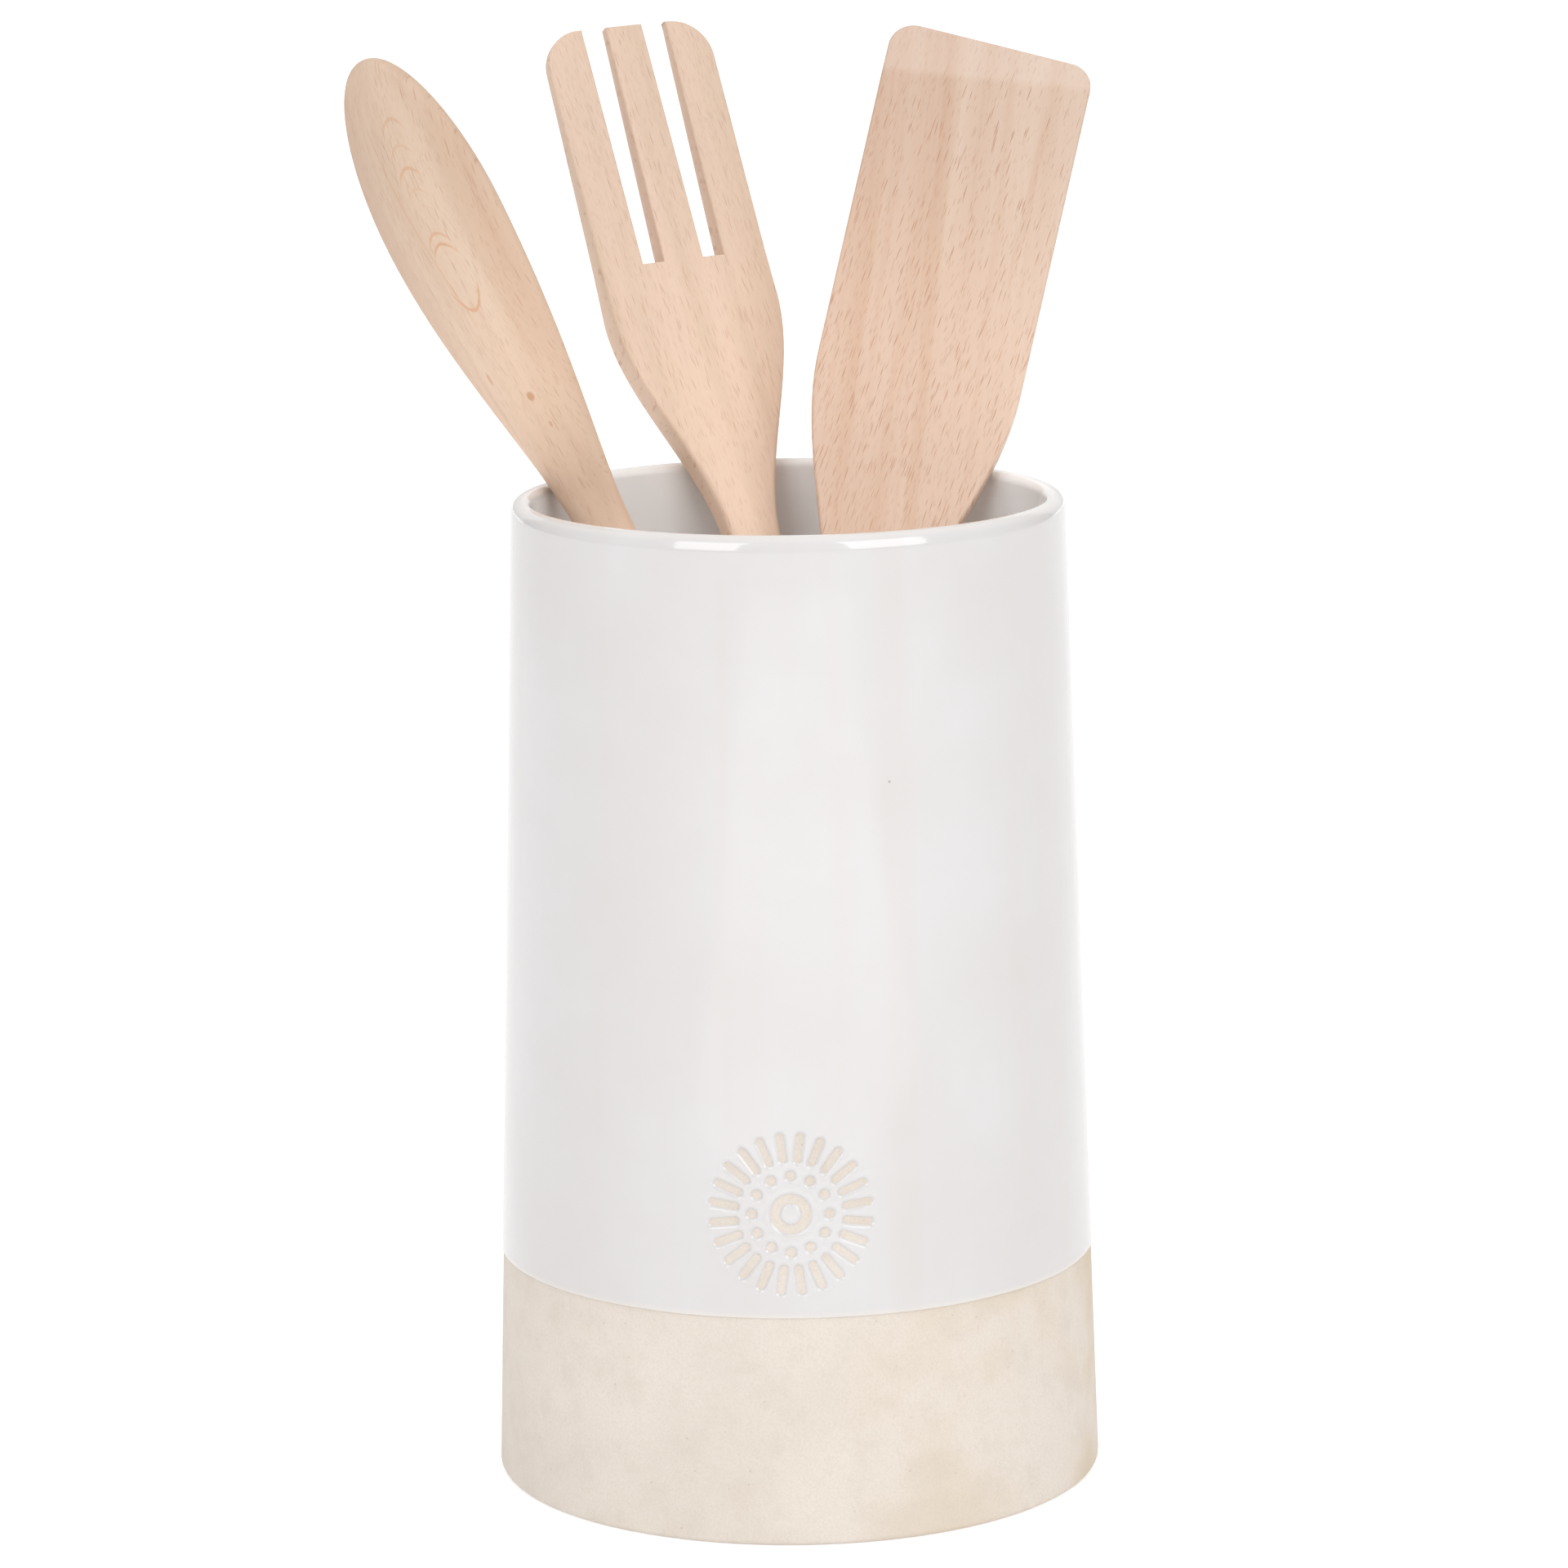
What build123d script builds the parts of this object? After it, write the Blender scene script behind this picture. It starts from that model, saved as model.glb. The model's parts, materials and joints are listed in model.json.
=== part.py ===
from build123d import *
import os
from math import cos, hypot, radians, sin, sqrt

# A stoneware utensil crock with three beech utensils standing in it. Sizes are in millimetres.
# The origin is the centre of the foot on the table, +Z is up, and the crock's front faces -Y.

# The crock
foot_diameter = 105.0
rim_diameter = 94.8
crock_height = 170.0
clay_wall = 2.9
floor_thickness = 5.0
glaze_thickness = 0.35
dip_line_height = 39.2
foot_edge_round = 1.0
foot_ring_width = 6.5
foot_recess = 1.2
inner_corner_round = 4.0
# The rim of the clay is nearly a full round: its two corners take this share of the wall.
rim_round_share = 0.47
# The glaze ends at the dip line in a soft roll, this share of its thickness.
dip_roll_share = 0.85

# How the utensils sit: each rests this far from the floor and from the rim that it leans on.
seat_gap = 0.3

# The handles: a rounded bar that is slimmer at the foot than at the neck
handle_width = 10.0
handle_thickness = 7.0
handle_foot_width = 8.0
handle_foot_thickness = 5.8
handle_end_round = 3.2
# Half the thickness at a bar's side, as a share of half its thickness in the middle
flat_bar_side_share = 0.72
round_bar_side_share = 0.3
# Corners of every section, as a share of the thickness at its side
corner_share = 0.3

# The fork
fork_length = 265.8
fork_head_width = 32.0
fork_head_length = 54.2
fork_neck_length = 44.9
fork_handle_width = 9.4
# The flat head lies this far behind the middle of the handle's thickness.
fork_set_back = 1.9
fork_shoulder_thickness = 6.0
fork_root_thickness = 4.8
fork_tip_thickness = 2.6
fork_slot_length = 45.2
fork_slot_root_width = 4.0
fork_slot_mouth_width = 4.65
fork_middle_tine_width = 7.6
fork_corner_round = 7.2
fork_crown = 0.25

# The spatula
spatula_length = 258.3
blade_width = 36.6
blade_shoulder_width = 36.2
blade_length = 61.0
spatula_neck_length = 58.0
blade_shoulder_thickness = 5.4
blade_end_thickness = 3.2
blade_left_round = 4.0
blade_right_round = 4.0
# The blade's end is cut a little askew: its right corner is this much lower.
blade_end_slant = 0.7
bevel_left_length = 9.0
bevel_right_length = 2.2
bevel_drop = 1.5
# The plane cutter of the bevel is a wide block, so that it cuts right across the blade.
cutter_span = 150.0
blade_crown = 0.2

# The spoon
spoon_length = 262.8
spoon_handle_thickness = 10.0
bowl_width = 28.1
bowl_depth = 6.5
bowl_wall = 2.3
bowl_rim_thickness = 2.2
bowl_tip_length = 31.0
spoon_neck_length = 59.6
# The bowl's lip lies this far behind the middle of the handle's thickness.
bowl_set_back = 2.8
# Below 1 the neck swells early, as on a turned and carved spoon
neck_fullness_share = 0.735

# Where each utensil stands: the bearing of its foot on the floor, how far out it stands as a share
# of the floor's radius, the bearing on the rim where it leans, and the turn of its front about its
# own length. Bearings are in degrees from +X, anticlockwise from above.
fork_stand = {"foot_bearing": -43.9, "foot_share": 0.885, "rim_bearing": 103.6, "turn": 20.7}
spatula_stand = {"foot_bearing": 237.8, "foot_share": 0.87, "rim_bearing": 51.8, "turn": -1.4}
spoon_stand = {"foot_bearing": 19.9, "foot_share": 0.905, "rim_bearing": 159.5, "turn": 141.7}

foot_radius = foot_diameter / 2
clay_rim_radius = rim_diameter / 2 - glaze_thickness
wall_slope = (foot_radius - clay_rim_radius) / crock_height
clay_top = crock_height - glaze_thickness
rim_round = rim_round_share * clay_wall
floor_top = floor_thickness + glaze_thickness
# The inner wall is straight up to where the rim starts to round over.
lean_height = crock_height - rim_round - glaze_thickness


def outer_radius(height):
    """Radius of the bare clay outside at a height."""
    return foot_radius - wall_slope * height


def cavity_radius(height):
    """Radius of the glazed inside at a height."""
    return outer_radius(height) - clay_wall - glaze_thickness


def smooth(x):
    """Rises from 0 to 1 with no slope at either end."""
    x = min(max(x, 0), 1)
    return x * x * (3 - 2 * x)


def blend(start, end, x):
    """The value a share x of the way from start to end."""
    return start + (end - start) * x


def clay_body():
    """The fired pot: one turned section with wall, floor, foot ring and rounded rim."""
    ring_radius = foot_radius - foot_ring_width
    corners = [
        (0, floor_thickness),
        (outer_radius(floor_thickness) - clay_wall, floor_thickness),
        (outer_radius(clay_top) - clay_wall, clay_top),
        (outer_radius(clay_top), clay_top),
        (foot_radius, 0),
        (ring_radius, 0),
        (ring_radius - foot_recess, foot_recess),
        (0, foot_recess),
    ]
    rounds = [inner_corner_round, rim_round, rim_round, foot_edge_round, 0, 0]
    outline = FilletPolyline(*corners, radius=rounds)
    axis_line = Line(corners[-1], corners[0])
    return revolve(Plane.XZ * make_face([outline, axis_line]), Axis.Z)


def glaze_coat():
    """The glaze: a thin skin over the inside, the rim and the outside down to the dip line."""
    skin = glaze_thickness
    outer_face = [
        (0, floor_top),
        (cavity_radius(floor_top), floor_top),
        (cavity_radius(crock_height), crock_height),
        (outer_radius(crock_height) + skin, crock_height),
        (outer_radius(dip_line_height) + skin, dip_line_height),
        (outer_radius(dip_line_height), dip_line_height),
    ]
    clay_face = [
        outer_face[-1],
        (outer_radius(clay_top), clay_top),
        (outer_radius(clay_top) - clay_wall, clay_top),
        (outer_radius(floor_thickness) - clay_wall, floor_thickness),
        (0, floor_thickness),
    ]
    dip_roll = dip_roll_share * skin
    outer_rounds = [inner_corner_round - skin, rim_round + skin, rim_round + skin, dip_roll]
    outside = FilletPolyline(*outer_face, radius=outer_rounds)
    inside = FilletPolyline(*clay_face, radius=[rim_round, rim_round, inner_corner_round])
    axis_line = Line(clay_face[-1], outer_face[0])
    return revolve(Plane.XZ * make_face([outside, inside, axis_line]), Axis.Z)


# Each utensil is drawn upright along +Z with its foot end at 0 and its front towards -Y. A station
# is (place along the length, half width, back, front, side, set back): back and front are how far
# the middle of each face lies from the section's own middle, side is half the thickness at the
# edges, and set back moves the section's middle backwards. A front below zero is hollow.


def section(station):
    """The closed outline across a utensil at a station, as a face."""
    along, half_width, back, front, side, set_back = station
    corner = corner_share * min(side, half_width)
    inner = half_width - corner
    side_end = side - corner
    edges = [
        Bezier((-inner, side), (0, 2 * back - side), (inner, side)),
        Bezier((inner, side), (half_width, side), (half_width, side_end)),
        Line((half_width, side_end), (half_width, -side_end)),
        Bezier((half_width, -side_end), (half_width, -side), (inner, -side)),
        Bezier((inner, -side), (0, side - 2 * front), (-inner, -side)),
        Bezier((-inner, -side), (-half_width, -side), (-half_width, -side_end)),
        Line((-half_width, -side_end), (-half_width, side_end)),
        Bezier((-half_width, side_end), (-half_width, side), (-inner, side)),
    ]
    return Pos(0, set_back, along) * make_face(edges)


def handle_stations(neck_start, width, thickness, side_share):
    """The rounded foot end and the bar above it, as two runs of stations."""
    runs = []
    round_shares = (0.0, 0.1, 0.3, 0.6, 1.0)
    end_places = [share * handle_end_round for share in round_shares]
    for places in (end_places, [handle_end_round, neck_start]):
        run = []
        for along in places:
            swell = along / neck_start
            left = max(1 - along / handle_end_round, 0)
            shrink = handle_end_round * (1 - sqrt(1 - left * left)) / 2
            half_width = blend(handle_foot_width, width, swell) / 2 - shrink
            half_thick = blend(handle_foot_thickness, thickness, swell) / 2 - shrink
            run.append((along, half_width, half_thick, half_thick, side_share * half_thick, 0))
        runs.append(run)
    return runs


def flat_neck(start, length, bar_width, width, thickness, crown, set_back):
    """The neck of a flat-headed utensil, from its bar out to its shoulder."""
    neck_shares = (0.0, 0.17, 0.34, 0.5, 0.66, 0.83, 1.0)
    run = []
    for share in neck_shares:
        half_width = blend(bar_width, width, smooth(share)) / 2
        half_thick = blend(handle_thickness, thickness, smooth(share)) / 2
        side = blend(flat_bar_side_share * half_thick, half_thick - crown, smooth(share))
        behind = blend(0, set_back, smooth(share))
        run.append((start + share * length, half_width, half_thick, half_thick, side, behind))
    return run


def flat_station(along, width, thickness, crown, set_back):
    """A section of a flat head with slightly crowned faces."""
    return (along, width / 2, thickness / 2, thickness / 2, thickness / 2 - crown, set_back)


def fork_runs():
    """Handle, neck and flat head of the fork; the head thins towards the tines' tips."""
    shoulder = fork_length - fork_head_length
    root = fork_length - fork_slot_length
    neck_start = shoulder - fork_neck_length
    neck = flat_neck(neck_start, fork_neck_length, fork_handle_width, fork_head_width,
                     fork_shoulder_thickness, fork_crown, fork_set_back)
    palm_end = flat_station(root, fork_head_width, fork_root_thickness, fork_crown, fork_set_back)
    tines_end = flat_station(fork_length, fork_head_width, fork_tip_thickness, fork_crown,
                             fork_set_back)
    palm = [neck[-1], palm_end]
    tines = [palm_end, tines_end]
    handle = handle_stations(neck_start, fork_handle_width, handle_thickness, flat_bar_side_share)
    return handle + [neck, palm, tines]


def spatula_runs():
    """Handle, neck and flat blade of the spatula; the blade thins towards its end."""
    shoulder = spatula_length - blade_length
    neck_start = shoulder - spatula_neck_length
    neck = flat_neck(neck_start, spatula_neck_length, handle_width, blade_shoulder_width,
                     blade_shoulder_thickness, blade_crown, 0)
    blade_end = flat_station(spatula_length, blade_width, blade_end_thickness, blade_crown, 0)
    blade = [neck[-1], blade_end]
    handle = handle_stations(neck_start, handle_width, handle_thickness, flat_bar_side_share)
    return handle + [neck, blade]


def spoon_runs():
    """Handle, long neck and oval bowl; the front sinks into a hollow and the back swells."""
    widest = spoon_length - bowl_tip_length
    neck_start = widest - spoon_neck_length
    handle_half = spoon_handle_thickness / 2
    rim_half = bowl_rim_thickness / 2
    hollow = bowl_depth - bowl_wall
    bowl = []
    neck_shares = (0.0, 0.14, 0.28, 0.42, 0.56, 0.7, 0.85, 1.0)
    for share in neck_shares:
        swell = smooth(share ** neck_fullness_share)
        half_width = blend(handle_width, bowl_width, swell) / 2
        back = blend(handle_half, bowl_depth, smooth(share))
        front = blend(handle_half, -hollow, smooth(share))
        side = blend(round_bar_side_share * handle_half, rim_half, smooth(share))
        set_back = blend(0, bowl_set_back, smooth(share))
        along = neck_start + share * spoon_neck_length
        bowl.append((along, half_width, back, front, side, set_back))
    # Towards the tip the bowl follows an ellipse, and its depth runs out with its width.
    tip_shares = (0.3, 0.55, 0.75, 0.88, 0.96, 0.99)
    for share in tip_shares:
        narrow = sqrt(1 - share * share)
        back = blend(rim_half, bowl_depth, narrow * narrow)
        front = blend(rim_half, -hollow, narrow * narrow)
        half_width = narrow * bowl_width / 2
        along = widest + share * bowl_tip_length
        bowl.append((along, half_width, back, front, rim_half, bowl_set_back))
    handle = handle_stations(neck_start, handle_width, spoon_handle_thickness,
                             round_bar_side_share)
    return handle + [bowl]


def bar(runs):
    """One solid through all the sections of a utensil: a smooth loft for each run."""
    lofts = [loft([section(station) for station in run]) for run in runs]
    return lofts[0].fuse(*lofts[1:]).clean()


def plate(points, rounds, thickness):
    """A prism across the utensil's thickness, from a filleted outline in width and length."""
    outline = FilletPolyline(*points, radius=rounds, close=True)
    return extrude(Plane.XZ * make_face([outline]), thickness, both=True)


def fork():
    """A three-tined fork: the head's corners are rounded and two slots part the tines."""
    half = fork_head_width / 2
    reach = handle_thickness
    head = [(-half, -reach), (half, -reach), (half, fork_length), (-half, fork_length)]
    body = bar(fork_runs()) & plate(head, [0, 0, fork_corner_round, fork_corner_round], reach)
    root = fork_length - fork_slot_length
    root_half = fork_slot_root_width / 2
    mouth_half = fork_slot_mouth_width / 2
    for side in (-1, 1):
        middle = side * (fork_middle_tine_width / 2 + root_half)
        slot = [
            (middle - root_half, root),
            (middle + root_half, root),
            (middle + mouth_half, fork_length),
            (middle + mouth_half, fork_length + reach),
            (middle - mouth_half, fork_length + reach),
            (middle - mouth_half, fork_length),
        ]
        body -= plate(slot, 0, reach)
    return body


def spatula():
    """A flat turner: two corner rounds and a slanted bevel that thins the end of the blade."""
    half = blade_width / 2
    reach = handle_thickness
    right_end = spatula_length - blade_end_slant
    blade = [(-half, -reach), (half, -reach), (half, right_end), (-half, spatula_length)]
    rounds = [0, 0, blade_right_round, blade_left_round]
    body = bar(spatula_runs()) & plate(blade, rounds, reach)
    front = -blade_end_thickness / 2
    left = Vector(-half, front, spatula_length - bevel_left_length)
    right = Vector(half, front, right_end - bevel_right_length)
    tip = Vector(-half, front + bevel_drop, spatula_length)
    across = right - left
    facing = across.cross(tip - left)
    if facing.Y > 0:
        facing = -facing
    slab = extrude(Rectangle(cutter_span, cutter_span), blade_width)
    return body - Plane(left, across, facing) * slab


def spoon():
    """A solid spoon with a long neck and a shallow oval bowl."""
    return bar(spoon_runs())


def lean_plane(stand, rim_radius_here):
    """Axes of a utensil that stands on the floor and crosses the rim's height at a radius."""
    foot_reach = stand["foot_share"] * cavity_radius(floor_top)
    foot_turn = radians(stand["foot_bearing"])
    rim_turn = radians(stand["rim_bearing"])
    foot = Vector(foot_reach * cos(foot_turn), foot_reach * sin(foot_turn), floor_top)
    rim = Vector(rim_radius_here * cos(rim_turn), rim_radius_here * sin(rim_turn), lean_height)
    along = (rim - foot).normalized()
    across = (Vector(1, 0, 0) - along * along.X).normalized()
    facing = across.cross(along)
    turn = radians(stand["turn"])
    return Plane(foot, across * cos(turn) - facing * sin(turn), along)


def outline_lines(runs):
    """Lines along a utensil's surface, each a list of points, for finding where it touches."""
    stations = [station for run in runs for station in run]
    lines = []
    width_shares = (-1.0, -0.5, 0.0, 0.5, 1.0)
    for share in width_shares:
        bulge = 1 - share * share
        lines.append([(share * w, m + blend(s, b, bulge), t) for t, w, b, f, s, m in stations])
        lines.append([(share * w, m - blend(s, f, bulge), t) for t, w, b, f, s, m in stations])
    return lines


def reach_at_rim(plane, slide, lines):
    """How far from the crock's axis the utensil reaches at the height of the rim."""
    reach = 0
    for line in lines:
        spots = [plane.origin + plane.x_dir * x + plane.y_dir * y + plane.z_dir * (z + slide)
                 for x, y, z in line]
        for low, high in zip(spots, spots[1:]):
            if low.Z <= lean_height < high.Z:
                share = (lean_height - low.Z) / (high.Z - low.Z)
                spot = low + (high - low) * share
                reach = max(reach, hypot(spot.X, spot.Y))
    return reach


def slide_to_floor(plane, lines):
    """How far up its own length the utensil stands so that its foot end clears the floor."""
    lowest = min(plane.x_dir.Z * x + plane.y_dir.Z * y + plane.z_dir.Z * z
                 for line in lines for x, y, z in line)
    return (seat_gap - lowest) / plane.z_dir.Z


def stand_in_crock(stand, runs):
    """The plane of a utensil that leans outwards until it rests on the rim."""
    lines = outline_lines(runs)
    touching = cavity_radius(lean_height) - seat_gap
    near = 0
    far = cavity_radius(lean_height)
    halvings = 30
    for _ in range(halvings):
        middle = (near + far) / 2
        plane = lean_plane(stand, middle)
        if reach_at_rim(plane, slide_to_floor(plane, lines), lines) < touching:
            near = middle
        else:
            far = middle
    plane = lean_plane(stand, near)
    return plane.offset(slide_to_floor(plane, lines))


def main():
    os.makedirs("parts", exist_ok=True)
    pieces = {"clay_body": clay_body(), "glaze_coat": glaze_coat()}
    utensils = {
        "spoon": (spoon, spoon_runs, spoon_stand),
        "fork": (fork, fork_runs, fork_stand),
        "spatula": (spatula, spatula_runs, spatula_stand),
    }
    for name, (shape, runs, stand) in utensils.items():
        plane = stand_in_crock(stand, runs())
        pieces[name] = plane * shape()
        print(name, "stands at", plane.origin, "and slides along", plane.z_dir, "front", -plane.y_dir)
    for name, piece in pieces.items():
        export_step(piece, f"parts/{name}.step")
        print(name, round(piece.volume), "cubic mm")


main()
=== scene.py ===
# %% [markdown]
# A stoneware crock with three beech utensils, dressed for its picture.
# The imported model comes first. Its places and sizes are used again here, written out with more
# detail, so the finer surfaces stand where its solids do. Shapes are worked out in millimetres, as
# a potter or a joiner would write them down, and turned into metres when their mesh is made.

# %% Load the model
import json

import bpy
import numpy as np
from mathutils import Matrix, Vector


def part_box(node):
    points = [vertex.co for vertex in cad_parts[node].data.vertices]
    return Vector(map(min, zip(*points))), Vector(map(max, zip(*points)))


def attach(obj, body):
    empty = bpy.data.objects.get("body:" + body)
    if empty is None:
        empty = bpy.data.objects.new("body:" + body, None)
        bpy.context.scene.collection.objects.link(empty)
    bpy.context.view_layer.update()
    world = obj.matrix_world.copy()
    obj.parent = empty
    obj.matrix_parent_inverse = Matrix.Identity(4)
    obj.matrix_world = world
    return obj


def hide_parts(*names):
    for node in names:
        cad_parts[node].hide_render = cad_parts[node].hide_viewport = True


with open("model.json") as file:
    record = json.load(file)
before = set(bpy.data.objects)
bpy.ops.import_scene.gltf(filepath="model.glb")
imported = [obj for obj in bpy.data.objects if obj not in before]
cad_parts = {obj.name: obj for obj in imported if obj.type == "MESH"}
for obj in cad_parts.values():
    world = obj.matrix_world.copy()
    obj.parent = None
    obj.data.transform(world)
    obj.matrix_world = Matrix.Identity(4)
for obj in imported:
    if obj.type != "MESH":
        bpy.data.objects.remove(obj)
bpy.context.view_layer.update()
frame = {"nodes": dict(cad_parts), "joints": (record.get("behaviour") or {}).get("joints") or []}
MM = 0.001
print("nodes", sorted(frame["nodes"]))

# %% [markdown]
# The camera. The pot's outline, the ellipse of its rim, its foot and its glaze line were matched
# to a pinhole camera: about a metre away, a little above the rim, looking down by eleven degrees
# through a long lens. The picture hangs a hair off level, which the small roll keeps.

# %% Camera
CAMERA_PLACE = (0.0, -1009.056, 317.732)
PITCH = 0.19371
ROLL = 0.01263
YAW = -0.00127
FOCAL_PIXELS = 7313.96
PICTURE_PIXELS = 1920
SENSOR_WIDTH = 36.0


def aim(place, pitch, roll, yaw):
    """A camera matrix: level axes turned by the yaw, tipped down by the pitch, then rolled."""
    level_right = np.array([np.cos(yaw), -np.sin(yaw), 0])
    level_ahead = np.array([np.sin(yaw), np.cos(yaw), 0])
    skyward = np.array([0, 0, 1])
    ahead = level_ahead * np.cos(pitch) - skyward * np.sin(pitch)
    top = level_ahead * np.sin(pitch) + skyward * np.cos(pitch)
    right = level_right * np.cos(roll) - top * np.sin(roll)
    upward = level_right * np.sin(roll) + top * np.cos(roll)
    turn = Matrix(np.column_stack([right, upward, -ahead]).tolist()).to_4x4()
    return Matrix.Translation([value * MM for value in place]) @ turn


camera_data = bpy.data.cameras.new("camera")
camera_data.sensor_width = SENSOR_WIDTH
camera_data.lens = FOCAL_PIXELS * SENSOR_WIDTH / PICTURE_PIXELS
camera_data.clip_start = 0.05
camera_data.clip_end = 60
camera = bpy.data.objects.new("camera", camera_data)
camera.matrix_world = aim(CAMERA_PLACE, PITCH, ROLL, YAW)
bpy.context.collection.objects.link(camera)
bpy.context.scene.camera = camera
print("lens", round(camera_data.lens, 2), "mm")

# %% [markdown]
# Turning arrays of points into a mesh. Every surface below is a grid of points, so one helper
# welds points that fall together, as at a pole or a seam, turns the squares that lose a corner
# there into triangles, and hands the lot to Blender in one go. That is quick, and it leaves a
# closed mesh whose faces all point outwards.

# %% Mesh helpers
WELD_DISTANCE = 0.0005


def weld(points, squares):
    """Joins points closer than the weld distance; squares that lose a corner become triangles."""
    key = np.round(points / WELD_DISTANCE).astype(np.int64)
    _, first, merged = np.unique(key, axis=0, return_index=True, return_inverse=True)
    squares = merged.reshape(-1)[squares]
    repeats = squares == np.roll(squares, -1, axis=1)
    whole = squares[repeats.sum(axis=1) == 0]
    thin = repeats.sum(axis=1) == 1
    triangles = squares[thin][~repeats[thin]].reshape(-1, 3)
    used = np.unique(np.concatenate([whole.ravel(), triangles.ravel()]))
    place = np.zeros(len(first), int)
    place[used] = np.arange(len(used))
    return first[used], place[whole], place[triangles]


def make_piece(name, points, squares, local=None):
    """A smooth-shaded object from grid points in mm, with its own coordinates kept as grain."""
    kept, whole, triangles = weld(points, squares)
    mesh = bpy.data.meshes.new(name)
    mesh.vertices.add(len(kept))
    mesh.vertices.foreach_set("co", (points[kept] * MM).ravel())
    corners = np.concatenate([whole.ravel(), triangles.ravel()])
    starts = np.concatenate([np.arange(len(whole)) * 4, whole.size + np.arange(len(triangles)) * 3])
    mesh.loops.add(len(corners))
    mesh.loops.foreach_set("vertex_index", corners)
    mesh.polygons.add(len(starts))
    mesh.polygons.foreach_set("loop_start", starts)
    mesh.polygons.foreach_set("use_smooth", np.ones(len(starts), bool))
    mesh.update(calc_edges=True)
    if local is not None:
        grain = mesh.attributes.new("grain", "FLOAT_VECTOR", "POINT")
        grain.data.foreach_set("vector", local[kept].ravel())
    piece = bpy.data.objects.new(name, mesh)
    bpy.context.collection.objects.link(piece)
    print(name, len(kept), "points,", 2 * len(whole) + len(triangles), "triangles")
    return piece


# %% [markdown]
# The pot. The real one is cast or thrown stoneware: a plain turned shape, fired once, then dipped
# upside down in white glaze and fired again, so the foot stays bare. A turned shape is a profile
# carried round an axis, and that is how both surfaces are made: the clay from the centre of the
# floor below to the centre of the floor inside, and the glaze as a skin over it that stops in a
# soft roll at the dip line.

# %% Sizes of the pot: the model's own, with its height read from it
glaze_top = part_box("glaze_coat")[1][2]
GLAZE_SKIN = 0.35
CLAY_WALL = 2.9
FLOOR_THICKNESS = 5.0
FOOT_RADIUS = 52.5
RIM_RADIUS = 47.4
FOOT_RING = 6.5
FOOT_RECESS = 1.2
FOOT_ROUND = 1.0
INNER_ROUND = 4.0
POT_HEIGHT = glaze_top / MM
DIP_LINE = 39.2
CLAY_TOP = POT_HEIGHT - GLAZE_SKIN
RIM_DEPTH = 2.25
RIM_TILT = np.radians(14)
RIM_SOFT, RIM_OUTER, RIM_INNER = 5.6, 1.46, 1.2
SLOPE = (FOOT_RADIUS - RIM_RADIUS + GLAZE_SKIN) / POT_HEIGHT
print("pot", round(POT_HEIGHT, 1), "mm high, wall leans", round(float(SLOPE), 4))


def wall_radius(height):
    """Radius of the bare clay outside at a height: a straight taper from foot to rim."""
    return FOOT_RADIUS - SLOPE * height


def rim_corners(skin):
    """The rim's three corners, skin mm out from the clay: the wall leans in, then turns over."""
    lean_height = POT_HEIGHT - RIM_DEPTH + skin * np.tan(RIM_TILT / 2)
    lean = wall_radius(lean_height) + skin
    top = CLAY_TOP + skin
    crest = lean - (top - lean_height) * np.tan(RIM_TILT)
    inner = wall_radius(top) - CLAY_WALL - skin
    return [(lean, lean_height), (crest, top), (inner, top)]


# %% [markdown]
# A profile is written as corners, each with a round. A fillet in a profile is an arc that
# touches both of its neighbours, found from the half angle between them. The runs between the
# arcs are divided finely where something will be pressed into them and coarsely elsewhere.

# %% Profile helper
def filleted(corners, rounds, spacing, arc_steps=10):
    """Points along a polyline with an arc at each inner corner.

    An arc starts and ends at round / tan(half the corner's angle) from the corner; its points
    turn evenly from one run's normal to the next. Straight runs get a point every spacing mm.
    """
    corners = np.array(corners, float)
    pieces = [corners[:1]]
    for here, before, after, size in zip(corners[1:-1], corners[:-2], corners[2:], rounds):
        back = (before - here) / np.linalg.norm(before - here)
        on = (after - here) / np.linalg.norm(after - here)
        half = np.arccos(np.clip(back @ on, -1, 1)) / 2
        if size > 0:
            centre = here + (back + on) / np.linalg.norm(back + on) * size / np.sin(half)
            start = here + back * size / np.tan(half) - centre
            end = here + on * size / np.tan(half) - centre
            sweep = np.pi - 2 * half
            step = np.linspace(0, 1, arc_steps + 1)[:, None]
            arc = (np.sin((1 - step) * sweep) * start + np.sin(step * sweep) * end) / np.sin(sweep)
            pieces.append(centre + arc)
        else:
            pieces.append(here[None])
    pieces.append(corners[-1:])
    out = [pieces[0]]
    for piece, gap in zip(pieces[1:], spacing):
        start, end = out[-1][-1], piece[0]
        count = max(int(np.ceil(np.linalg.norm(end - start) / gap)), 1)
        steps = np.linspace(0, 1, count + 1)[1:-1, None]
        out += [start + (end - start) * steps, piece]
    return np.concatenate(out)


# %% [markdown]
# The ornament near the foot: a small ring, a round of dots and a round of short rays, pressed into
# the clay and left bare of glaze. It is worked out as a distance to the nearest edge of a shape,
# so the glaze can fall away round it in a soft lip, as it does where wax keeps it off.

# %% The pressed ornament
MARK_HEIGHT = 57.0
MARK_BEARING = -0.02
MARK_REACH = 15.5
MARK_STEP = 0.232
RING_RADIUS, RING_HALF = 2.6, 0.75
DOT_COUNT, DOT_CIRCLE, DOT_RADIUS = 12, 6.5, 0.8
RAY_COUNT, RAY_INNER, RAY_OUTER, RAY_HALF = 24, 9.4, 13.2, 0.62
LIP_WIDTH = 0.34
LIP_SWELL = 0.05
LIP_PLACE, LIP_SPREAD = 0.7, 0.45
BARE_DEPTH = 0.10


def folded(angle, count):
    """The angle from the nearest of count evenly spaced spokes."""
    step = 2 * np.pi / count
    return (angle + step / 2) % step - step / 2


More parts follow.
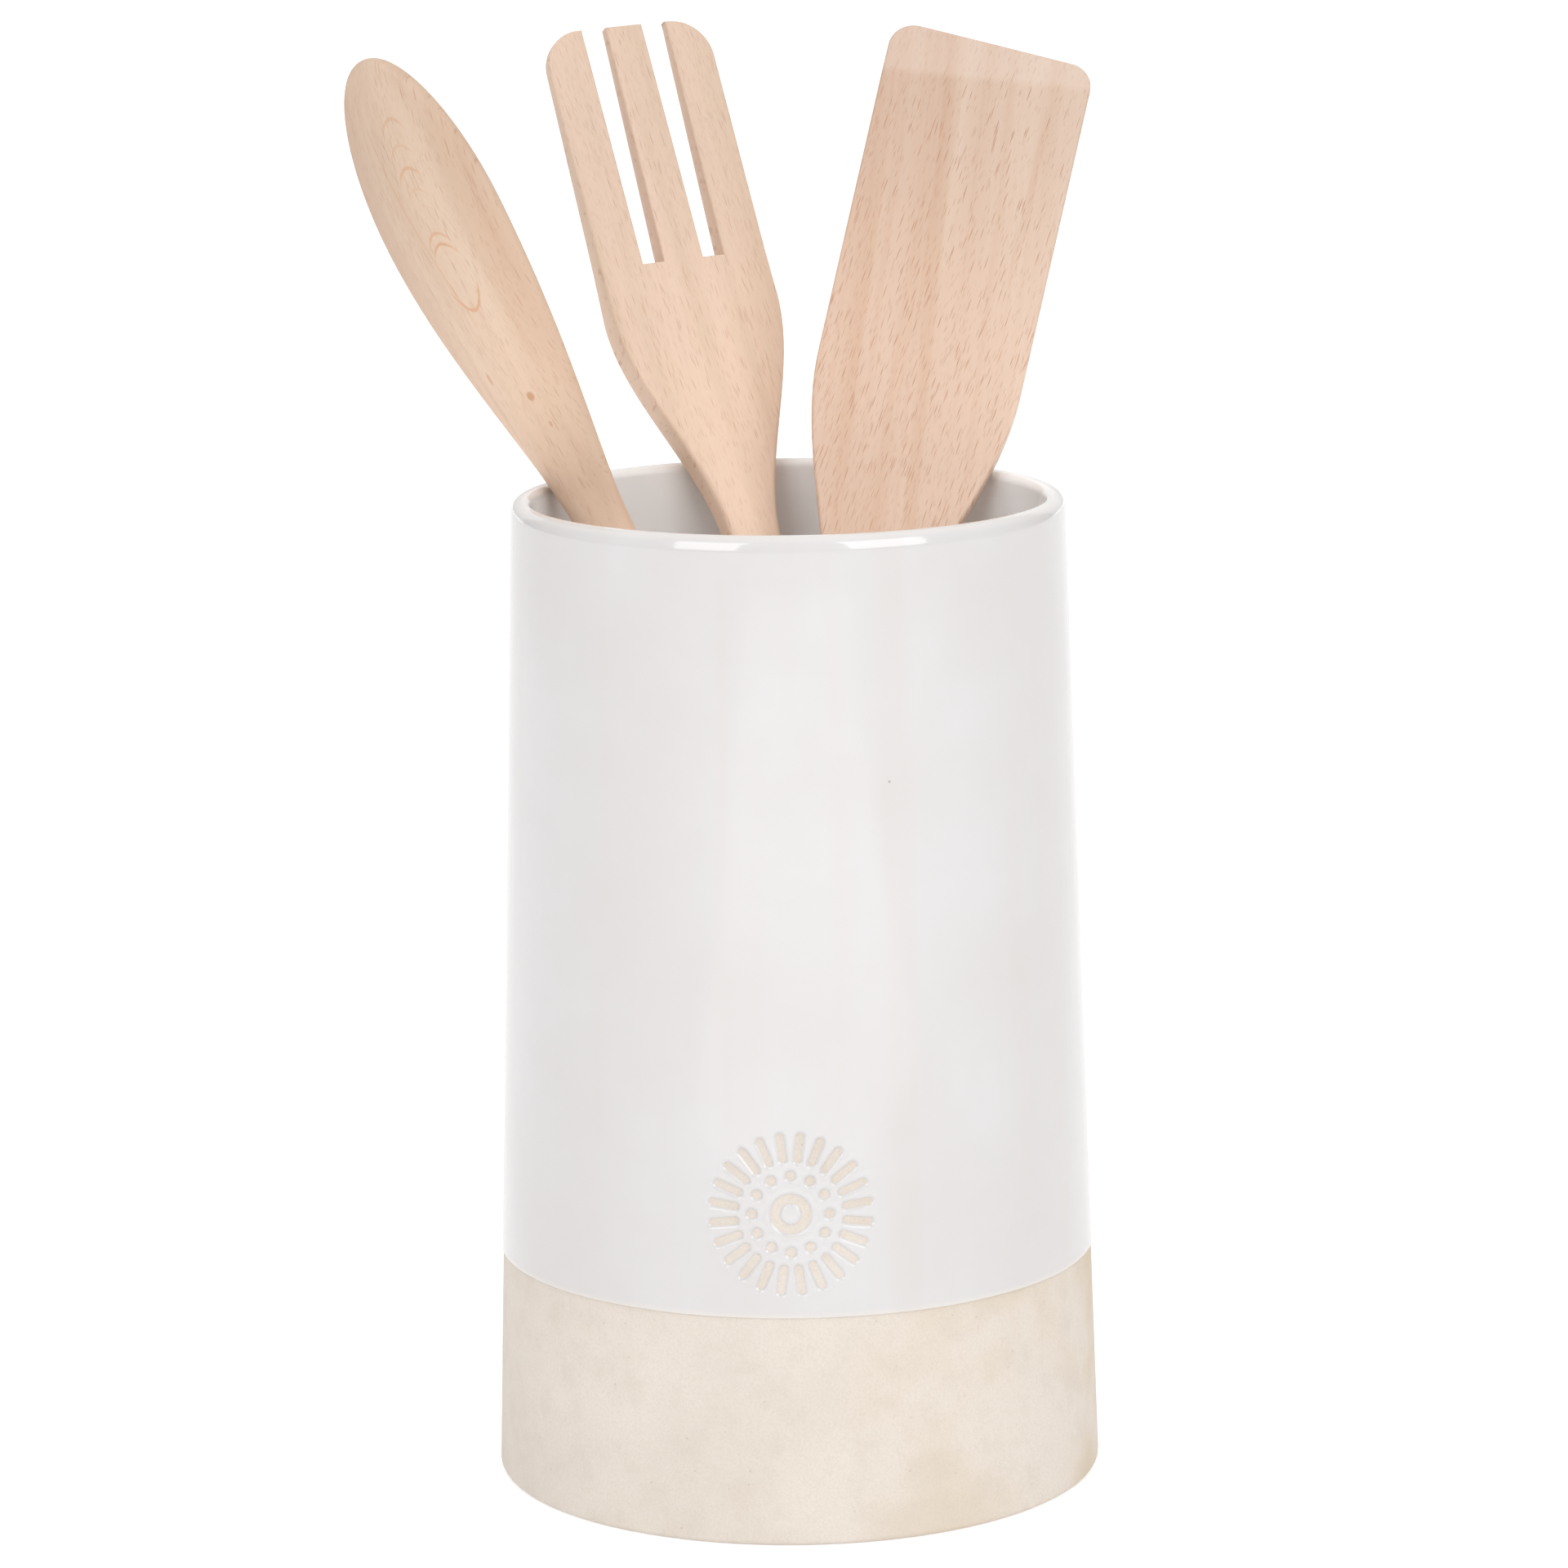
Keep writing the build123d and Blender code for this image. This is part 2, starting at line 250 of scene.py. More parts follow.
def mark_distance(across, upward):
    """Distance in mm to the ornament's nearest shape, negative inside it."""
    radius = np.hypot(across, upward)
    angle = np.arctan2(upward, across)
    ring = np.abs(radius - RING_RADIUS) - RING_HALF
    dot_angle = folded(angle, DOT_COUNT)
    dots = np.hypot(radius * np.cos(dot_angle) - DOT_CIRCLE, radius * np.sin(dot_angle)) - DOT_RADIUS
    ray_angle = folded(angle + np.pi / RAY_COUNT, RAY_COUNT)
    along = radius * np.cos(ray_angle)
    off_end = along - np.clip(along, RAY_INNER, RAY_OUTER)
    rays = np.hypot(off_end, radius * np.sin(ray_angle)) - RAY_HALF
    return np.minimum(np.minimum(ring, dots), rays)


def rise(value, low, high):
    """Climbs smoothly from 0 at low to 1 at high."""
    share = np.clip((value - low) / (high - low), 0, 1)
    return share * share * (3 - 2 * share)


# %% [markdown]
# Carrying a profile round the axis. The columns crowd together across the ornament and spread out
# round the rest of the pot. A glaze is never dead flat, so its outside gets a few long, shallow
# swells, a few hundredths of a millimetre deep: enough to make a reflection waver.

# %% Turn the clay and the glaze
SWELLS = np.random.default_rng(11)
SWELL_WAVES = ((2, 0.031), (3, 0.052), (5, 0.024), (7, 0.078), (11, 0.045), (4, 0.12))
SWELL_DEPTH = 0.035
DIP_WAVER = 0.12
DIP_ROLL_SHARE = 0.85
HIDDEN_DEPTH = 0.3
RECESS_ROUND = 0.4
CLAY_SPACING = (6, 1, 2, 2, 2, 2, 8, 8)
GLAZE_SPACING = (0.2, 0.5, MARK_STEP, 3, 2, 2, 5, 4)
HIDDEN_SPACING = (9, 12, 2, 2, 12, 1)
mark_arc = MARK_REACH / wall_radius(MARK_HEIGHT)
MARK_COLUMNS = int(2 * MARK_REACH / MARK_STEP)
PLAIN_COLUMNS = 150
near_mark = np.linspace(-mark_arc, mark_arc, MARK_COLUMNS, endpoint=False)
far_round = np.linspace(mark_arc, 2 * np.pi - mark_arc, PLAIN_COLUMNS, endpoint=False)
columns = np.concatenate([near_mark, far_round]) + MARK_BEARING


def turned(radius, height, angle):
    """Squares and points of a surface of revolution; the angle runs from the front, rightwards."""
    points = np.stack([radius * np.sin(angle), -radius * np.cos(angle), height], axis=-1)
    rows, cols = radius.shape
    index = np.arange(rows * cols).reshape(rows, cols)
    right = np.roll(index, -1, axis=1)
    squares = np.stack([index[:-1], right[:-1], right[1:], index[1:]], axis=-1)
    return points.reshape(-1, 3), squares.reshape(-1, 4)


def clay_profile():
    """Radius and height from under the floor, round the foot, over the rim, to the floor inside."""
    ring_inner = FOOT_RADIUS - FOOT_RING
    corners = [
        (0, FOOT_RECESS),
        (ring_inner - FOOT_RECESS, FOOT_RECESS),
        (ring_inner, 0),
        (FOOT_RADIUS, 0),
        *rim_corners(0),
        (wall_radius(FLOOR_THICKNESS) - CLAY_WALL, FLOOR_THICKNESS),
        (0, FLOOR_THICKNESS),
    ]
    foot_rounds = [RECESS_ROUND, RECESS_ROUND, FOOT_ROUND]
    rounds = [*foot_rounds, RIM_SOFT, RIM_OUTER, RIM_INNER, INNER_ROUND]
    return filleted(corners, rounds, CLAY_SPACING)


clay_line = clay_profile()
clay_columns = columns[::2]
clay_radius = np.repeat(clay_line[:, :1], len(clay_columns), axis=1)
clay_height = np.repeat(clay_line[:, 1:], len(clay_columns), axis=1)
clay_points, clay_squares = turned(clay_radius, clay_height, clay_columns[None])
clay = make_piece("clay_surface", clay_points, clay_squares)


def glaze_outside():
    """Radius and height of the glaze's face, from its lower edge over the rim to the floor."""
    corners = [
        (wall_radius(DIP_LINE), DIP_LINE),
        (wall_radius(DIP_LINE) + GLAZE_SKIN, DIP_LINE),
        (wall_radius(MARK_HEIGHT - MARK_REACH) + GLAZE_SKIN, MARK_HEIGHT - MARK_REACH),
        (wall_radius(MARK_HEIGHT + MARK_REACH) + GLAZE_SKIN, MARK_HEIGHT + MARK_REACH),
        *rim_corners(GLAZE_SKIN),
        (wall_radius(FLOOR_THICKNESS) - CLAY_WALL - GLAZE_SKIN, FLOOR_THICKNESS + GLAZE_SKIN),
        (0, FLOOR_THICKNESS + GLAZE_SKIN),
    ]
    rim_rounds = [RIM_SOFT + GLAZE_SKIN, RIM_OUTER + GLAZE_SKIN, RIM_INNER + GLAZE_SKIN]
    rounds = [DIP_ROLL_SHARE * GLAZE_SKIN, 0, 0, *rim_rounds, INNER_ROUND - GLAZE_SKIN]
    return filleted(corners, rounds, GLAZE_SPACING, arc_steps=12)


def swell(height, angle):
    """Long shallow waves: a sum of a few sines that close on themselves round the pot."""
    total = np.zeros(np.broadcast(height, angle).shape)
    for around, along in SWELL_WAVES:
        turn, lift = SWELLS.uniform(0, 2 * np.pi, 2)
        total = total + np.sin(around * angle + turn) * np.sin(along * height + lift) / around
    return total


outer_line = glaze_outside()
glaze_r, glaze_h = outer_line[:, :1], outer_line[:, 1:]
angle = columns[None]
outer_side = glaze_r > wall_radius(glaze_h) - CLAY_WALL / 2
facing_out = rise(glaze_h, DIP_LINE, DIP_LINE + 3) * outer_side
wavered = -DIP_WAVER * swell(0 * glaze_h, 2 * angle) * (1 - rise(glaze_h, DIP_LINE, DIP_LINE + 2))
around_mark = (angle - MARK_BEARING + np.pi) % (2 * np.pi) - np.pi
mark_edge = mark_distance(around_mark * wall_radius(MARK_HEIGHT), glaze_h - MARK_HEIGHT)
bared = outer_side * (1 - rise(mark_edge, -LIP_WIDTH / 3, LIP_WIDTH))
lip = LIP_SWELL * outer_side * np.exp(-((mark_edge - LIP_PLACE) / LIP_SPREAD) ** 2)
face_radius = glaze_r + SWELL_DEPTH * facing_out * (swell(glaze_h, angle) - 1)
face_radius = face_radius + lip - (GLAZE_SKIN + BARE_DEPTH) * bared
face_height = glaze_h + wavered * outer_side

# The hidden face lies a little inside the clay and shares the profile's two ends.
hidden_line = filleted(
    [
        (0, FLOOR_THICKNESS - HIDDEN_DEPTH),
        (wall_radius(FLOOR_THICKNESS) - CLAY_WALL + HIDDEN_DEPTH, FLOOR_THICKNESS - HIDDEN_DEPTH),
        *rim_corners(-HIDDEN_DEPTH)[::-1],
        (wall_radius(DIP_LINE) - HIDDEN_DEPTH, DIP_LINE + HIDDEN_DEPTH),
        (wall_radius(DIP_LINE), DIP_LINE),
    ],
    [INNER_ROUND, RIM_INNER - HIDDEN_DEPTH, RIM_OUTER - HIDDEN_DEPTH, RIM_SOFT - HIDDEN_DEPTH, 0],
    HIDDEN_SPACING,
)[:-1]
hidden_r = np.repeat(hidden_line[:, :1], len(columns), axis=1)
hidden_h = np.repeat(hidden_line[:, 1:], len(columns), axis=1)
glaze_points, glaze_squares = turned(
    np.concatenate([hidden_r, face_radius, hidden_r[:1]]),
    np.concatenate([hidden_h, face_height, hidden_h[:1]]),
    angle,
)
glaze = make_piece("glaze_surface", glaze_points, glaze_squares)

# %% [markdown]
# The utensils. Each is one piece of beech, sawn flat or turned, then sanded: crisp but never
# sharp edges, a slim bar of a handle, and a neck that widens in one smooth curve. Its foot and the
# way it faces are where the model stands it, and it leans along its lifting axis. Such a piece
# has two faces over one outline. So a grid is laid over the outline, as wide as the piece at each
# place along it, both faces are raised over it, and where the grid ends a wall joins them. The
# edges are rounded by lowering a face near the outline along a quarter circle.

# %% Two faces over one outline
def two_faced(name, across, along, front, back, keep, stand):
    """A closed piece from a grid over its outline.

    across and along are the grid's places in the outline, front and back the heights of its
    faces from the middle plane, and keep says which cells exist. A cell's edge that has no
    neighbour gets a wall from the front face to the back. stand puts the piece in the pot.
    """
    rows, cols = across.shape
    near = np.arange(rows * cols).reshape(rows, cols)
    empty = np.zeros((rows + 1, cols + 1), bool)
    empty[1:-1, 1:-1] = keep
    a, b, c, d = near[:-1, :-1], near[:-1, 1:], near[1:, 1:], near[1:, :-1]
    to_far = rows * cols
    squares = [np.stack([a, b, c, d], -1)[keep], np.stack([d, c, b, a], -1)[keep] + to_far]
    open_sides = (
        (b, a, empty[:-2, 1:-1]),
        (d, c, empty[2:, 1:-1]),
        (a, d, empty[1:-1, :-2]),
        (c, b, empty[1:-1, 2:]),
    )
    for start, end, neighbour in open_sides:
        edge = keep & ~neighbour
        wall = np.stack([start, end, end + to_far, start + to_far], -1)
        squares.append(wall[edge])
    near_points = np.stack([across, -front, along], -1).reshape(-1, 3)
    far_points = np.stack([across, back, along], -1).reshape(-1, 3)
    local = np.concatenate([near_points, far_points])
    return make_piece(name, stand(local), np.concatenate(squares), local)


def every_cell(across):
    """The cells of a grid that keeps them all."""
    return np.ones((across.shape[0] - 1, across.shape[1] - 1), bool)


def standing(foot, upward, facing):
    """A function that carries a utensil's own points to where it stands in the pot."""
    upward = np.array(upward) / np.linalg.norm(upward)
    facing = np.array(facing) - np.dot(facing, upward) * upward
    facing = facing / np.linalg.norm(facing)
    rightward = np.cross(upward, facing)
    axes = np.array([rightward, -facing, upward])
    return lambda points: points @ axes + np.array(foot)


def lowered(distance, size):
    """How far a rounded edge falls at a distance from the outline: a quarter circle."""
    inward = np.clip(1 - distance / size, 0, 1)
    return size * (1 - np.sqrt(1 - inward ** 2))


EDGE_STEPS = np.array([0, 0.06, 0.22, 0.48, 0.76, 1.0])


def crowded(start, end, size, inner):
    """Places from start to end, close together within size of either end."""
    size = np.minimum(size, 0.35 * (end - start))
    middle = np.linspace(0, 1, inner + 2)[1:-1]
    left = [start + size * step for step in EDGE_STEPS]
    centre = [start + size + (end - start - 2 * size) * step for step in middle]
    right = [end - size * step for step in EDGE_STEPS[::-1]]
    return np.stack(left + centre + right, axis=-1)


# %% [markdown]
# Every handle is the same bar. It is slimmer at its foot, where it ends in a rounded tip, and its
# faces swell slightly between its sides.

# %% Sizes of the handles
FOOT_WIDTH = 8.0
FOOT_THICKNESS = 5.8
BAR_WIDTH = 10.0
FLAT_BAR_THICKNESS = 7.0
BAR_SIDE_SHARE = 0.72
TIP_ROUND = 3.4
BAR_EDGE = 1.3
FOOT_EDGE = 1.4
HEAD_EDGE = 0.45


def grow(start, end, share):
    """The value a share of the way from start to end."""
    return start + (end - start) * share


def ease(share):
    """0 to 1 with no slope at either end."""
    return rise(share, 0, 1)


def foot_rows():
    """Places along the rounded tip of a handle, close together at its end."""
    turn = np.linspace(0, np.pi / 2, 14)
    return TIP_ROUND * (1 - np.cos(turn))


def tip_inset(along):
    """How much narrower each side is inside the round of the handle's tip."""
    return lowered(along, TIP_ROUND)


def foot_distance(across, along, half_width):
    """Distance to the outline round a handle's tip: to its end, or to the round of a corner."""
    corner = half_width - TIP_ROUND
    past = np.clip(np.abs(across) - corner, 0, None)
    short = np.clip(TIP_ROUND - along, 0, None)
    in_corner = (past > 0) & (short > 0)
    return np.where(in_corner, TIP_ROUND - np.hypot(past, short), along)


def edge_size(along, neck_start, neck_end):
    """Radius of the rounded edges: large at the foot, smaller on the bar, fine on the head."""
    on_bar = grow(FOOT_EDGE, BAR_EDGE, rise(along, 0, 12))
    return grow(on_bar, HEAD_EDGE, rise(along, neck_start - 20, neck_end))


# %% [markdown]
# The fork. Its head is a flat board that thins towards the tips, with rounded outer corners and
# two saw kerfs that widen a little towards the mouth. In the grid each kerf is a strip of cells
# that is left out above its root.

# %% Fork
FORK_STAND = dict(foot=(31.0733, -29.7434, 6.25211), facing=(0.344571, -0.833868, 0.431201))
FORK_LENGTH = 265.8
FORK_HEAD = 32.0
FORK_HEAD_LENGTH = 54.2
FORK_NECK = 44.9
FORK_BAR_WIDTH = 9.4
FORK_SET_BACK = 1.9
FORK_SHOULDER = 6.0
FORK_ROOT = 4.8
FORK_TIP = 2.6
KERF_LENGTH = 45.2
KERF_ROOT, KERF_MOUTH = 4.0, 4.65
MIDDLE_TINE = 7.6
FORK_CORNER = 7.2
FORK_CROWN = 0.25
FAR_AWAY = 100.0
lifts = {joint["child"]: joint["axis"] for joint in frame["joints"]}


def flat_half_width(along, neck_start, neck_end, bar_width, head):
    """Half the width of a flat utensil: a bar that widens over its neck to its head."""
    bar = grow(FOOT_WIDTH, bar_width, np.clip(along / neck_start, 0, 1))
    share = (along - neck_start) / (neck_end - neck_start)
    return grow(bar, head, ease(share)) / 2


def fork():
    """The fork's grid: a kerf's strip of columns on each side of the middle tine."""
    shoulder = FORK_LENGTH - FORK_HEAD_LENGTH
    root = FORK_LENGTH - KERF_LENGTH
    neck_start = shoulder - FORK_NECK
    corner_start = FORK_LENGTH - FORK_CORNER
    turn = np.linspace(0, np.pi / 2, 22)[1:]
    rows = np.concatenate([
        foot_rows(),
        np.linspace(TIP_ROUND, neck_start, 50)[1:],
        np.linspace(neck_start, shoulder, 44)[1:],
        np.linspace(shoulder, root - HEAD_EDGE, 12)[1:-1],
        root - HEAD_EDGE * EDGE_STEPS[::-1],
        root + HEAD_EDGE * np.array([0.25, 1.0]),
        np.linspace(root + 1, corner_start, 38),
        corner_start + FORK_CORNER * np.sin(turn),
    ])[:, None]
    full = flat_half_width(rows, neck_start, shoulder, FORK_BAR_WIDTH, FORK_HEAD)
    spread = full / (FORK_HEAD / 2)
    past_corner = np.clip(rows - corner_start, 0, None)
    outer = full - tip_inset(rows) * (rows < TIP_ROUND)
    outer = outer - (FORK_CORNER - np.sqrt(FORK_CORNER ** 2 - past_corner ** 2))
    kerf_share = np.clip((rows - root) / KERF_LENGTH, 0, 1)
    kerf_half = grow(KERF_ROOT, KERF_MOUTH, kerf_share) / 2
    kerf_middle = (MIDDLE_TINE + KERF_ROOT) / 2
    inner = spread * (kerf_middle - kerf_half)
    further = np.minimum(spread * (kerf_middle + kerf_half), outer * 0.9)
    edge = edge_size(rows, neck_start, shoulder)
    side = crowded(further[:, 0], outer[:, 0], edge[:, 0], 9)
    strip = np.linspace(inner[:, 0], further[:, 0], 5, axis=-1)[:, 1:-1]
    middle = crowded(-inner[:, 0], inner[:, 0], edge[:, 0], 7)
    across = np.concatenate([-side[:, ::-1], -strip[:, ::-1], middle, strip, side], axis=1)
    along = np.repeat(rows, across.shape[1], axis=1)

    bar_half = grow(FOOT_THICKNESS, FLAT_BAR_THICKNESS, np.clip(rows / neck_start, 0, 1)) / 2
    neck_share = ease((rows - neck_start) / FORK_NECK)
    half = grow(bar_half, FORK_SHOULDER / 2, neck_share)
    palm_share = np.clip((rows - shoulder) / (root - shoulder), 0, 1)
    half = half - palm_share * (FORK_SHOULDER - FORK_ROOT) / 2
    half = half - kerf_share * (FORK_ROOT - FORK_TIP) / 2
    crown = grow((1 - BAR_SIDE_SHARE) * half, FORK_CROWN, neck_share)

    steep = np.gradient(full[:, 0], rows[:, 0])[:, None]
    to_side = (full - np.abs(across)) / np.sqrt(1 + steep ** 2)
    to_end = FORK_LENGTH - along
    past = np.abs(across) - (FORK_HEAD / 2 - FORK_CORNER)
    high = along - corner_start
    to_corner = FORK_CORNER - np.hypot(past, high)
    distance = np.where((past > 0) & (high > 0), to_corner, np.minimum(to_side, to_end))
    distance = np.minimum(distance, foot_distance(across, along, full))
    off_kerf = np.abs(np.abs(across) - kerf_middle) - kerf_half
    below = np.clip(root - along, 0, None)
    to_kerf = np.hypot(np.clip(off_kerf, 0, None), below) + FAR_AWAY * (spread < 0.99)
    distance = np.minimum(distance, to_kerf)
    face = half - crown * (across / full) ** 2 - lowered(distance, edge)
    keep = every_cell(across)
    above = rows[:-1, 0] >= root - 1e-6
    sides, strips, mids = side.shape[1], strip.shape[1] + 1, middle.shape[1]
    keep[above, sides - 1:sides - 1 + strips] = False
    keep[above, sides - 1 + strips + mids - 1:sides - 1 + 2 * strips + mids - 1] = False
    stand = standing(upward=lifts["fork"], **FORK_STAND)
    behind = FORK_SET_BACK * neck_share
    return two_faced("fork_surface", across, along, face - behind, face + behind, keep, stand)


fork_piece = fork()

# %% [markdown]
# The spatula. A flat blade with a long neck. Its end slants a little. Its front is thinned there
# by a bevel that reaches further down on the left and takes more off on that side, with a foot
# slightly softened by sanding. The end slants more than the model's, as the picture shows.

# %% Spatula
SPATULA_STAND = dict(foot=(-22.4583, -35.7052, 6.5099), facing=(-0.023766, -0.936513, 0.349826))
SPATULA_LENGTH = 259.1
BLADE_WIDTH = 36.6
SHOULDER_WIDTH = 36.2
END_SLANT = 1.75
BLADE_LENGTH = 61.8
SPATULA_NECK = 58.0
BLADE_SHOULDER = 5.4
BLADE_END = 3.2
LEFT_CORNER, RIGHT_CORNER = 4.8, 4.0
SPATULA_CROWN = 0.2
BEVEL_DROP = 1.5
BEVEL_RIGHT_SHARE = 2.2 / 9.0
BEVEL_ROWS = 10.5
BEVEL_SOFTNESS = 0.06
BEVEL_FOOT_MIDDLE = 7.9
BEVEL_FOOT_LEAN = 0.11


def spatula():
    """The spatula's grid, with rows close together across the bevel and the end corners."""
    shoulder = SPATULA_LENGTH - BLADE_LENGTH
    neck_start = shoulder - SPATULA_NECK
    bevel_start = SPATULA_LENGTH - BEVEL_ROWS
    turn = np.linspace(0, np.pi / 2, 20)[1:]
    rows = np.concatenate([
        foot_rows(),
        np.linspace(TIP_ROUND, neck_start, 40)[1:],
        np.linspace(neck_start, shoulder, 50)[1:],
        np.linspace(shoulder, bevel_start, 34)[1:],
        np.linspace(bevel_start, SPATULA_LENGTH - RIGHT_CORNER, 26)[1:],
        SPATULA_LENGTH - RIGHT_CORNER * (1 - np.sin(turn)),
    ])[:, None]
    full = flat_half_width(rows, neck_start, shoulder, BAR_WIDTH, SHOULDER_WIDTH)
    blade_share = np.clip((rows - shoulder) / BLADE_LENGTH, 0, 1)
    full = full + blade_share * (BLADE_WIDTH - SHOULDER_WIDTH) / 2
    narrowed = full - tip_inset(rows) * (rows < TIP_ROUND)

    def end_inset(size):
        """How much narrower a side is inside its round end corner."""
        past = np.clip(rows - (SPATULA_LENGTH - size), 0, size)
        return size - np.sqrt(size ** 2 - past ** 2)

    edge = edge_size(rows, neck_start, shoulder)
    left = -(narrowed - end_inset(LEFT_CORNER))
    right = narrowed - end_inset(RIGHT_CORNER)
    across = crowded(left[:, 0], right[:, 0], edge[:, 0], 60)
    along = np.repeat(rows, across.shape[1], axis=1)

    bar_half = grow(FOOT_THICKNESS, FLAT_BAR_THICKNESS, np.clip(rows / neck_start, 0, 1)) / 2
    neck_share = ease((rows - neck_start) / SPATULA_NECK)
    half = grow(bar_half, BLADE_SHOULDER / 2, neck_share)
    half = half - blade_share * (BLADE_SHOULDER - BLADE_END) / 2
    crown = grow((1 - BAR_SIDE_SHARE) * half, SPATULA_CROWN, neck_share)

    steep = np.gradient(full[:, 0], rows[:, 0])[:, None]
    to_side = (full - np.abs(across)) / np.sqrt(1 + steep ** 2)
    distance = np.minimum(to_side, SPATULA_LENGTH - along)
    distance = np.minimum(distance, foot_distance(across, along, full))
    for sign, size in ((-1, LEFT_CORNER), (1, RIGHT_CORNER)):
        past = sign * across - (BLADE_WIDTH / 2 - size)
        high = along - (SPATULA_LENGTH - size)
        round_off = size - np.hypot(past, high)
        distance = np.where((past > 0) & (high > 0), round_off, distance)
    body = half - crown * (across / full) ** 2
    from_left = across / BLADE_WIDTH + 0.5
    end_drop = BEVEL_DROP * grow(1, BEVEL_RIGHT_SHARE, from_left)
    bevel_foot = BEVEL_FOOT_MIDDLE - BEVEL_FOOT_LEAN * across
    into_bevel = (along - SPATULA_LENGTH + bevel_foot) / bevel_foot
    cut = body - end_drop * into_bevel
    gap = body - cut
    front = body - (gap + np.sqrt(gap ** 2 + BEVEL_SOFTNESS ** 2)) / 2
    stand = standing(upward=lifts["spatula"], **SPATULA_STAND)
    drop = lowered(distance, edge)
    slanted = along - END_SLANT * from_left * rise(along, shoulder, SPATULA_LENGTH)
    cells = every_cell(across)
    return two_faced("spatula_surface", across, slanted, front - drop, body - drop, cells, stand)


spatula_piece = spatula()

# %% [markdown]
# The spoon. It stands with its back to the picture: a deep, egg-shaped back with a soft ridge
# down its middle, on a neck that swells early. The tip of its outline is half an ellipse, and the
# hollow on its other side leaves a narrow lip. Rows that follow the sine of an angle close the
# tip, and the weld turns the last one into a point.

# %% Spoon
SPOON_STAND = dict(foot=(41.215, 15.1011, 6.52928), facing=(0.561915, 0.780872, 0.272929))
SPOON_LENGTH = 262.8
SPOON_BAR_THICKNESS = 10.0
BOWL_WIDTH = 28.1
BOWL_DEPTH = 6.5
BOWL_WALL = 2.3
BOWL_LIP = 2.2
BOWL_TIP = 31.0
BOWL_SET_BACK = 2.8
SPOON_NECK = 59.6
NECK_FULLNESS = 0.735
RIDGE_SOFTNESS = 0.3
RIDGE_SHARE = 0.5
LIP_FLAT = 0.3
ROUND_SIDE_SHARE = 0.16
SPOON_EDGE = 0.95
EDGE_LIMIT = 0.85
STEEPEST = 4
TINY = 1e-6


def spoon():
    """The spoon's grid: half width by the neck's curve, then by half an ellipse to the tip."""
    widest = SPOON_LENGTH - BOWL_TIP
    neck_start = widest - SPOON_NECK
    turn = np.linspace(0, np.pi / 2, 60)[1:]
    rows = np.concatenate([
        foot_rows(),
        np.linspace(TIP_ROUND, neck_start, 60)[1:],
        np.linspace(neck_start, widest, 70)[1:],
        widest + BOWL_TIP * np.sin(turn),
    ])[:, None]
    bar_share = np.clip(rows / neck_start, 0, 1)
    neck_share = np.clip((rows - neck_start) / SPOON_NECK, 0, 1)
    swell_share = ease(neck_share ** NECK_FULLNESS)
    tip_share = np.clip((rows - widest) / BOWL_TIP, 0, 1)
    narrow = np.sqrt(1 - tip_share ** 2)
    full = grow(grow(FOOT_WIDTH, BAR_WIDTH, bar_share), BOWL_WIDTH, swell_share) / 2 * narrow
    full = np.maximum(full, 1e-4)
    outer = full - tip_inset(rows) * (rows < TIP_ROUND)
    share = ease(neck_share)
    bar_half = grow(FOOT_THICKNESS, SPOON_BAR_THICKNESS, bar_share) / 2
    lip_half = BOWL_LIP / 2
    side = grow(ROUND_SIDE_SHARE * bar_half, lip_half, share)
    edge = grow(edge_size(rows, neck_start, widest), SPOON_EDGE, share)
    edge = np.minimum(edge, EDGE_LIMIT * side)
    across = crowded(-outer[:, 0], outer[:, 0], edge[:, 0], 44)
    along = np.repeat(rows, across.shape[1], axis=1)

    hollow = BOWL_DEPTH - BOWL_WALL
    back = grow(grow(bar_half, BOWL_DEPTH, share), lip_half, 1 - narrow ** 2)
    front = grow(grow(bar_half, -hollow, share), lip_half, 1 - narrow ** 2)

    spot = np.abs(across) / full
    dome = 1 - spot ** 2
    roof_low = np.sqrt(1 + RIDGE_SOFTNESS ** 2) - RIDGE_SOFTNESS
    roof = 1 - (np.sqrt(spot ** 2 + RIDGE_SOFTNESS ** 2) - RIDGE_SOFTNESS) / roof_low
    back_face = side + (back - side) * grow(dome, roof, RIDGE_SHARE * share)
    inside = np.clip(np.abs(across) / np.maximum(full - LIP_FLAT * share, 0.3), 0, 1)
    bulge = grow(dome, 1 - inside ** 2, share)
    front_face = side + (front - side) * bulge

    steep = np.gradient(full[:, 0], rows[:, 0])[:, None]
    to_side = (full - np.abs(across)) / np.sqrt(1 + np.minimum(steep ** 2, STEEPEST))
    half_bowl = BOWL_WIDTH / 2
    oval = (across / half_bowl) ** 2 + tip_share ** 2
    slope = 2 * np.sqrt((across / half_bowl ** 2) ** 2 + (tip_share / BOWL_TIP) ** 2)
    to_oval = (1 - oval) / np.maximum(slope, TINY)
    distance = np.where(rows > widest, to_oval, to_side)
    distance = np.minimum(distance, foot_distance(across, along, full))
    drop = lowered(np.clip(distance, 0, None), edge)
    keep = every_cell(across)
    stand = standing(upward=lifts["spoon"], **SPOON_STAND)
    behind = BOWL_SET_BACK * share
    front_face = front_face - drop - behind
    back_face = back_face - drop + behind
    return two_faced("spoon_surface", across, along, front_face, back_face, keep, stand)


spoon_piece = spoon()

# %% [markdown]
# Shader arithmetic. A wire is one output of a node. Adding or multiplying wires adds the Math
# node that does it, so a material reads as the sum that it is.

